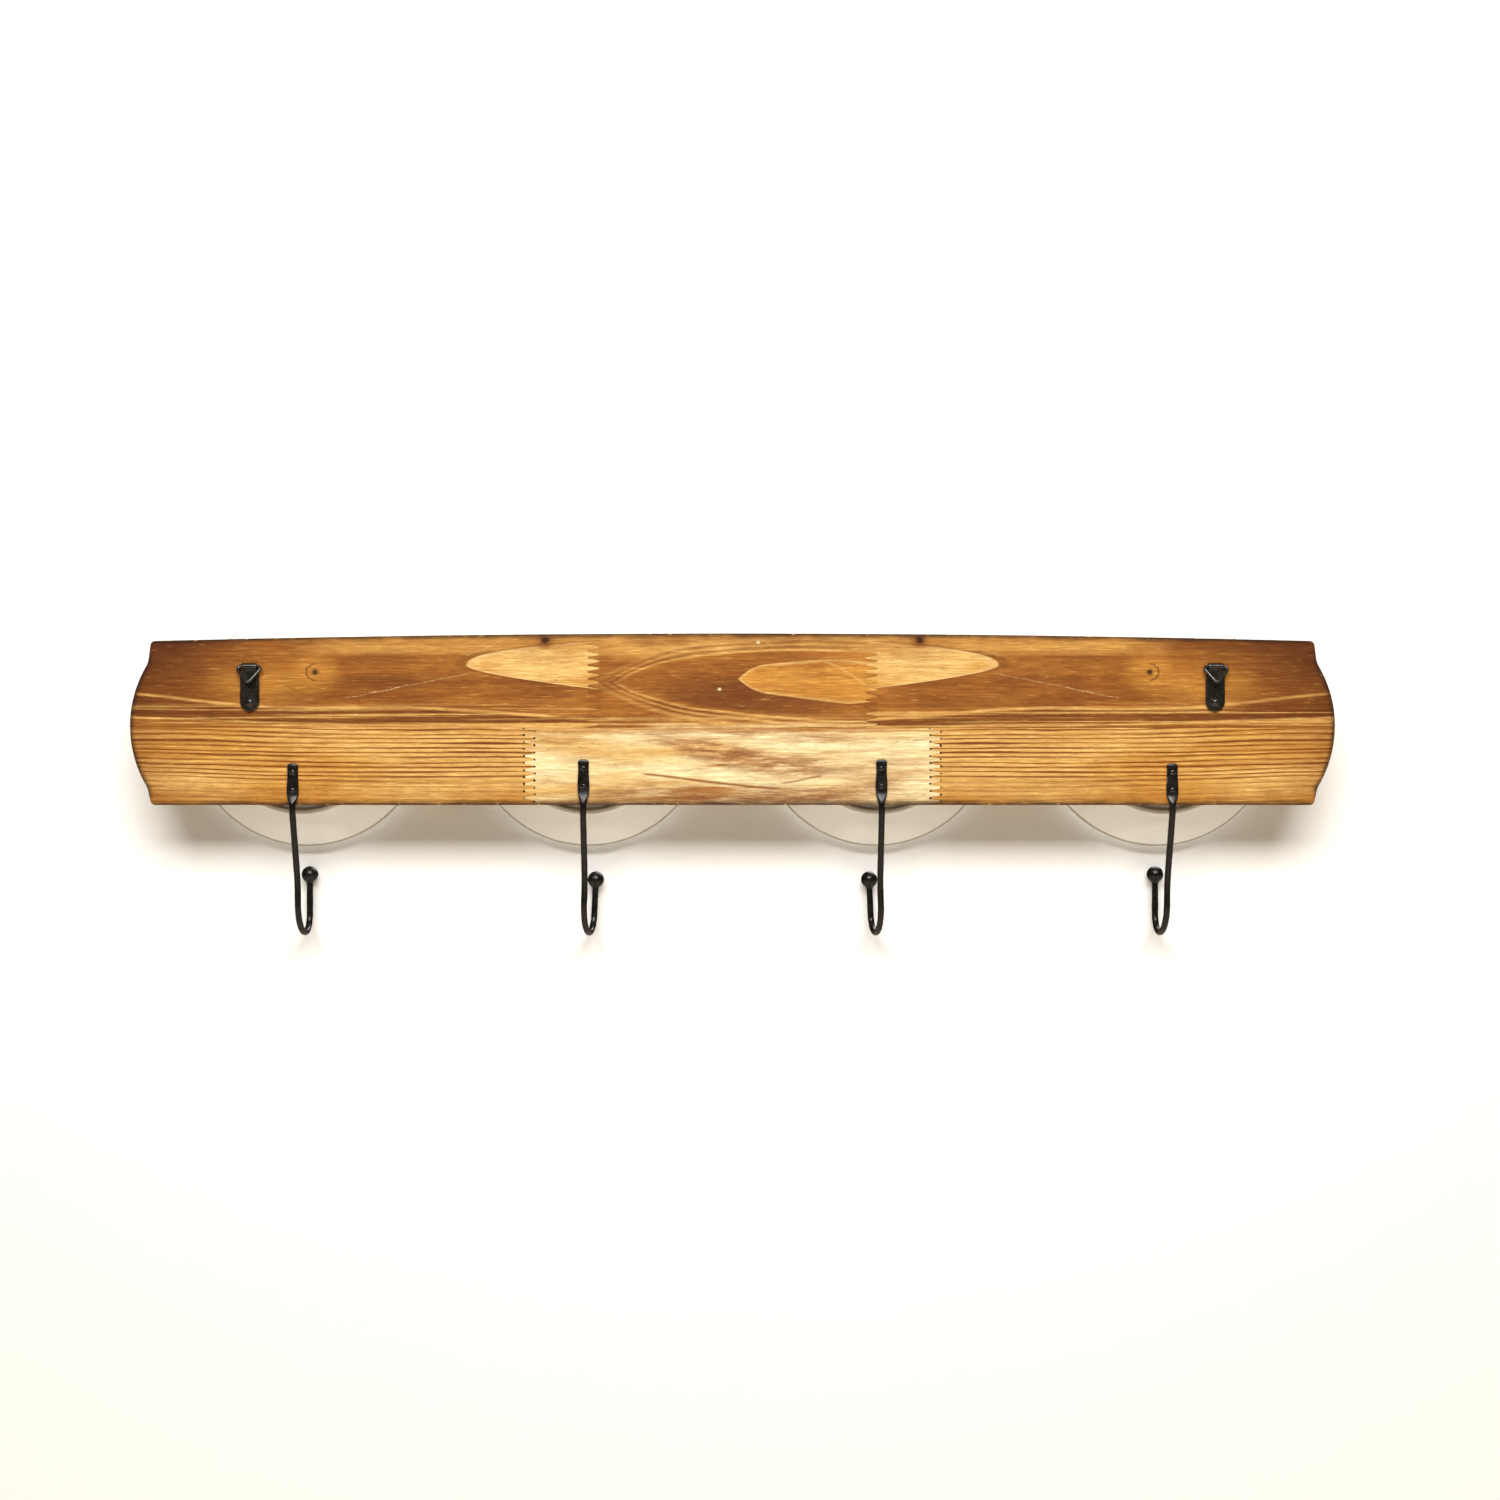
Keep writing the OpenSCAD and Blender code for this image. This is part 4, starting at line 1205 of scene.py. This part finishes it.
def build_strap(side, material):
    """A strip folded round the ring's bar, with rounded ends and softened edges."""
    node = f"hanger_strap_{side}"
    low, high = corners(node)
    x, foot_z = (low.x + high.x) / 2, low.z
    hinge_z = high.z - LOOP_IN - STRIP_T
    half_w = (high.x - low.x) / 2
    line = fold_path(foot_z + 0.06 * MM, hinge_z)
    columns = 12
    bm = bmesh.new()
    bmesh.ops.create_grid(bm, x_segments=columns, y_segments=len(line) - 1, size=0.5)
    bm.verts.ensure_lookup_table()
    for vert in bm.verts:
        across = round((vert.co.x + 0.5) * columns) / columns * 2 - 1
        y, z = line[round((vert.co.y + 0.5) * (len(line) - 1))]
        half = max(0.35 * MM, strap_half_width(z, foot_z, hinge_z, half_w) - 0.02 * MM)
        vert.co = Vector((x + across * half, y, z))
    piece = new_piece(f"strap_{side}", bm, material, BODY, node, 50.0)
    thick = piece.modifiers.new("Strip", "SOLIDIFY")
    thick.thickness = STRIP_T * 0.97
    thick.offset = 0.0
    thick.use_even_offset = True
    edge = piece.modifiers.new("Edges", "BEVEL")
    edge.width = 0.14 * MM
    edge.segments = 2
    edge.limit_method = "ANGLE"
    edge.angle_limit = math.radians(50)


def ring_stations():
    """The ring's wire as (across, height, heading) all the way round, hanging straight down."""
    bar_half = RING_HALF - RING_R - CORNER_BEND
    apex_z = -(APEX_DROP - APEX_BEND)
    dx, dz = bar_half, -CORNER_BEND - apex_z
    lean = math.atan2(dx, dz) - math.asin((APEX_BEND - CORNER_BEND) / math.hypot(dx, dz))
    half = [(bar_half * k / 4, 0.0, 0.0) for k in range(4)]
    for k in range(9):
        a = (math.pi / 2 + lean) * k / 8
        half.append((bar_half + CORNER_BEND * math.sin(a), CORNER_BEND * math.cos(a) - CORNER_BEND, a))
    start = Vector(half[-1][:2])
    side = math.pi / 2 + lean
    end = Vector((APEX_BEND * math.sin(side), apex_z + APEX_BEND * math.cos(side)))
    for k in range(1, 6):
        spot = start.lerp(end, k / 6)
        half.append((spot.x, spot.y, side))
    for k in range(9):
        a = side + (math.pi - side) * k / 8
        half.append((APEX_BEND * math.sin(a), apex_z + APEX_BEND * math.cos(a), a))
    other = [(-x, z, 2 * math.pi - a) for x, z, a in reversed(half[1:-1])]
    return half + other


def build_ring(side, material):
    """The triangular ring, a bent wire that closes on itself."""
    node = f"hanger_ring_{side}"
    strap_low, strap_high = corners(f"hanger_strap_{side}")
    hinge = Vector(((strap_low.x + strap_high.x) / 2, HINGE_Y, strap_high.z - LOOP_IN - STRIP_T))
    place = Matrix.Translation(hinge) @ Matrix.Rotation(-RING_REST, 4, "X")
    section = rounded_section(RING_R, RING_R, RING_R, RING_SIDES)
    rings = [[place @ Vector((x + u * math.sin(a), v, z + u * math.cos(a))) for u, v in section]
             for x, z, a in ring_stations()]
    new_piece(f"ring_{side}_wire", sweep(rings, True), material, f"ring_{side}", node, 60.0)


class RACK_OT_hangers(bpy.types.Operator):
    """Build the two folded straps and their swinging rings"""

    bl_idname = "rack.hangers"
    bl_label = "Hangers"

    def execute(self, context):
        metal = context.scene.rack_metal
        plated = black_metal("black_steel", metal.bronze, metal.bare, 0.8, 0.22, 0.04 * MM, 0.6)
        for side in SIDES:
            build_strap(side, plated)
            build_ring(side, plated)
        return {"FINISHED"}


# ---- stage ----

WALL_GAP = 1.0 * MM
SENSOR = 36.0
# The camera looks at the board a little below its middle, and a little off it to the right.
EYE_HEIGHT = -14.7 * MM
VIEW_SHIFT = 0.0117


def stage_plane(name, material, centre, width, height, normal):
    """A flat stage piece facing along normal."""
    bm = bmesh.new()
    bmesh.ops.create_grid(bm, x_segments=1, y_segments=1, size=0.5)
    turn = Vector(normal).to_track_quat("Z", "Y").to_matrix().to_4x4()
    place = Matrix.Translation(centre) @ turn @ Matrix.Diagonal((width, height, 1, 1))
    bmesh.ops.transform(bm, matrix=place, verts=bm.verts)
    plane = link_mesh(name, bm, material)
    plane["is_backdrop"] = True
    return plane


def plain_material(name, tone):
    """Matt paint for the stage."""
    material = bpy.data.materials.new(name)
    material.use_nodes = True
    g = Graph(material.node_tree)
    inputs = material.node_tree.nodes["Principled BSDF"].inputs
    for key, value in (("Base Color", tone), ("Roughness", 0.9), ("Specular IOR Level", 0.1)):
        g.feed(inputs[key], value)
    return material


def overlay(tree, factor, shader):
    """Mixes a second shader over what a tree puts out."""
    output = next(node for node in tree.nodes if node.bl_idname.startswith("ShaderNodeOutput"))
    surface = output.inputs["Surface"]
    g = Graph(tree)
    g.feed(surface, g.get("MixShader", (factor, surface.links[0].from_socket, shader)))


def area_light(name, place, width, height, power, tint):
    """A soft rectangular light aimed at the rack."""
    lamp = bpy.data.lights.new(name, "AREA")
    lamp.shape = "RECTANGLE"
    lamp.size, lamp.size_y = width, height
    lamp.energy = power
    lamp.color = tint
    light = bpy.data.objects.new(name, lamp)
    bpy.context.scene.collection.objects.link(light)
    light.location = place
    light.rotation_euler = (-Vector(place)).to_track_quat("-Z", "Y").to_euler()


class RACK_OT_stage(bpy.types.Operator):
    """Set up the camera, the soft light, the pale floor and the wall behind the rack"""

    bl_idname = "rack.stage"
    bl_label = "Stage"

    def execute(self, context):
        stage = context.scene.rack_stage
        white = plain_material("stage_wall", (0.93, 0.93, 0.92))
        # The wall can be looked through from behind.
        g = Graph(white.node_tree)
        overlay(white.node_tree, g.get("NewGeometry", output="Backfacing"), g.get("BsdfTransparent"))
        pale = plain_material("stage_floor", (0.64, 0.56, 0.45))
        # A little light of its own keeps the floor pale where the soft lights don't reach it.
        g = Graph(pale.node_tree)
        glow = g.get("Emission", ((0.80, 0.79, 0.77), 1.0))
        overlay(pale.node_tree, g.get("LightPath", output="Is Camera Ray") * 0.85, glow)
        wall_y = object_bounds()[1][1] + WALL_GAP
        wall = stage_plane("stage_wall", white, (0, wall_y, 0.3), 6.0, 3.0, (0, -1, 0))
        # Light from the dishes' side passes the wall, so that side isn't left dark.
        wall.visible_shadow = False
        wall.visible_glossy = False
        stage_plane("stage_floor", pale, (0, 0, -0.5), 14.0, 14.0, (0, 0, 1))
        camera = bpy.data.cameras.new("camera")
        camera.sensor_width = SENSOR
        camera.lens = SENSOR * stage.camera_distance / stage.view_width
        camera.shift_x = VIEW_SHIFT
        camera.clip_start = 0.01
        eye = bpy.data.objects.new("camera", camera)
        context.scene.collection.objects.link(eye)
        eye.location = (0.0, -stage.camera_distance, EYE_HEIGHT)
        eye.rotation_euler = (math.radians(90), 0.0, 0.0)
        context.scene.camera = eye
        area_light("key", (0.0, -1.23, 0.84), 1.3, 0.55, stage.key_power, (1.0, 0.985, 0.96))
        area_light("front_key", (0.5, 1.2, 1.1), 1.2, 1.2, stage.front_power, (1.0, 0.99, 0.97))
        world = bpy.data.worlds.new("studio")
        world.use_nodes = True
        g = Graph(world.node_tree)
        fill = world.node_tree.nodes["Background"].inputs
        g.feed(fill["Color"], stage.sky_tint)
        g.feed(fill["Strength"], stage.sky)
        # Seen directly, the studio is as pale as its wall, however soft its light is.
        backdrop = g.get("Background", ((0.90, 0.90, 0.89), 1.0))
        overlay(world.node_tree, g.get("LightPath", output="Is Camera Ray"), backdrop)
        context.scene.world = world
        context.scene.view_settings.view_transform = "Standard"
        context.scene.view_settings.look = "None"
        return {"FINISHED"}


class RACK_PT_panel(bpy.types.Panel):
    """Lists the rack's pieces in the sidebar"""

    bl_idname = "RACK_PT_panel"
    bl_label = "Hook Rack"
    bl_space_type = "VIEW_3D"
    bl_region_type = "UI"
    bl_category = "Hook Rack"

    def draw(self, context):
        for operator in OPERATORS:
            self.layout.operator(operator.bl_idname)
        for name, group in PROPERTIES.items():
            box = self.layout.box()
            box.label(text=group.__doc__)
            settings = getattr(context.scene, name)
            for key in group.__annotations__:
                box.prop(settings, key)


OPERATORS = (RACK_OT_board, RACK_OT_hooks, RACK_OT_screws, RACK_OT_dishes, RACK_OT_hangers, RACK_OT_stage)
CLASSES = tuple(PROPERTIES.values()) + OPERATORS + (RACK_PT_panel,)


def register():
    """Registers the classes and hangs their settings on the scene."""
    for item in CLASSES:
        bpy.utils.register_class(item)
    for name, group in PROPERTIES.items():
        setattr(bpy.types.Scene, name, PointerProperty(type=group))


def unregister():
    """Undoes register."""
    for name in PROPERTIES:
        delattr(bpy.types.Scene, name)
    for item in reversed(CLASSES):
        bpy.utils.unregister_class(item)


def main():
    """Builds every piece and the stage, and writes how the model's box compares with the CAD box."""
    register()
    bpy.ops.rack.board()
    bpy.ops.rack.hooks()
    bpy.ops.rack.screws()
    bpy.ops.rack.dishes()
    bpy.ops.rack.hangers()
    bpy.ops.rack.stage()


if __name__ == "__main__":
    main()
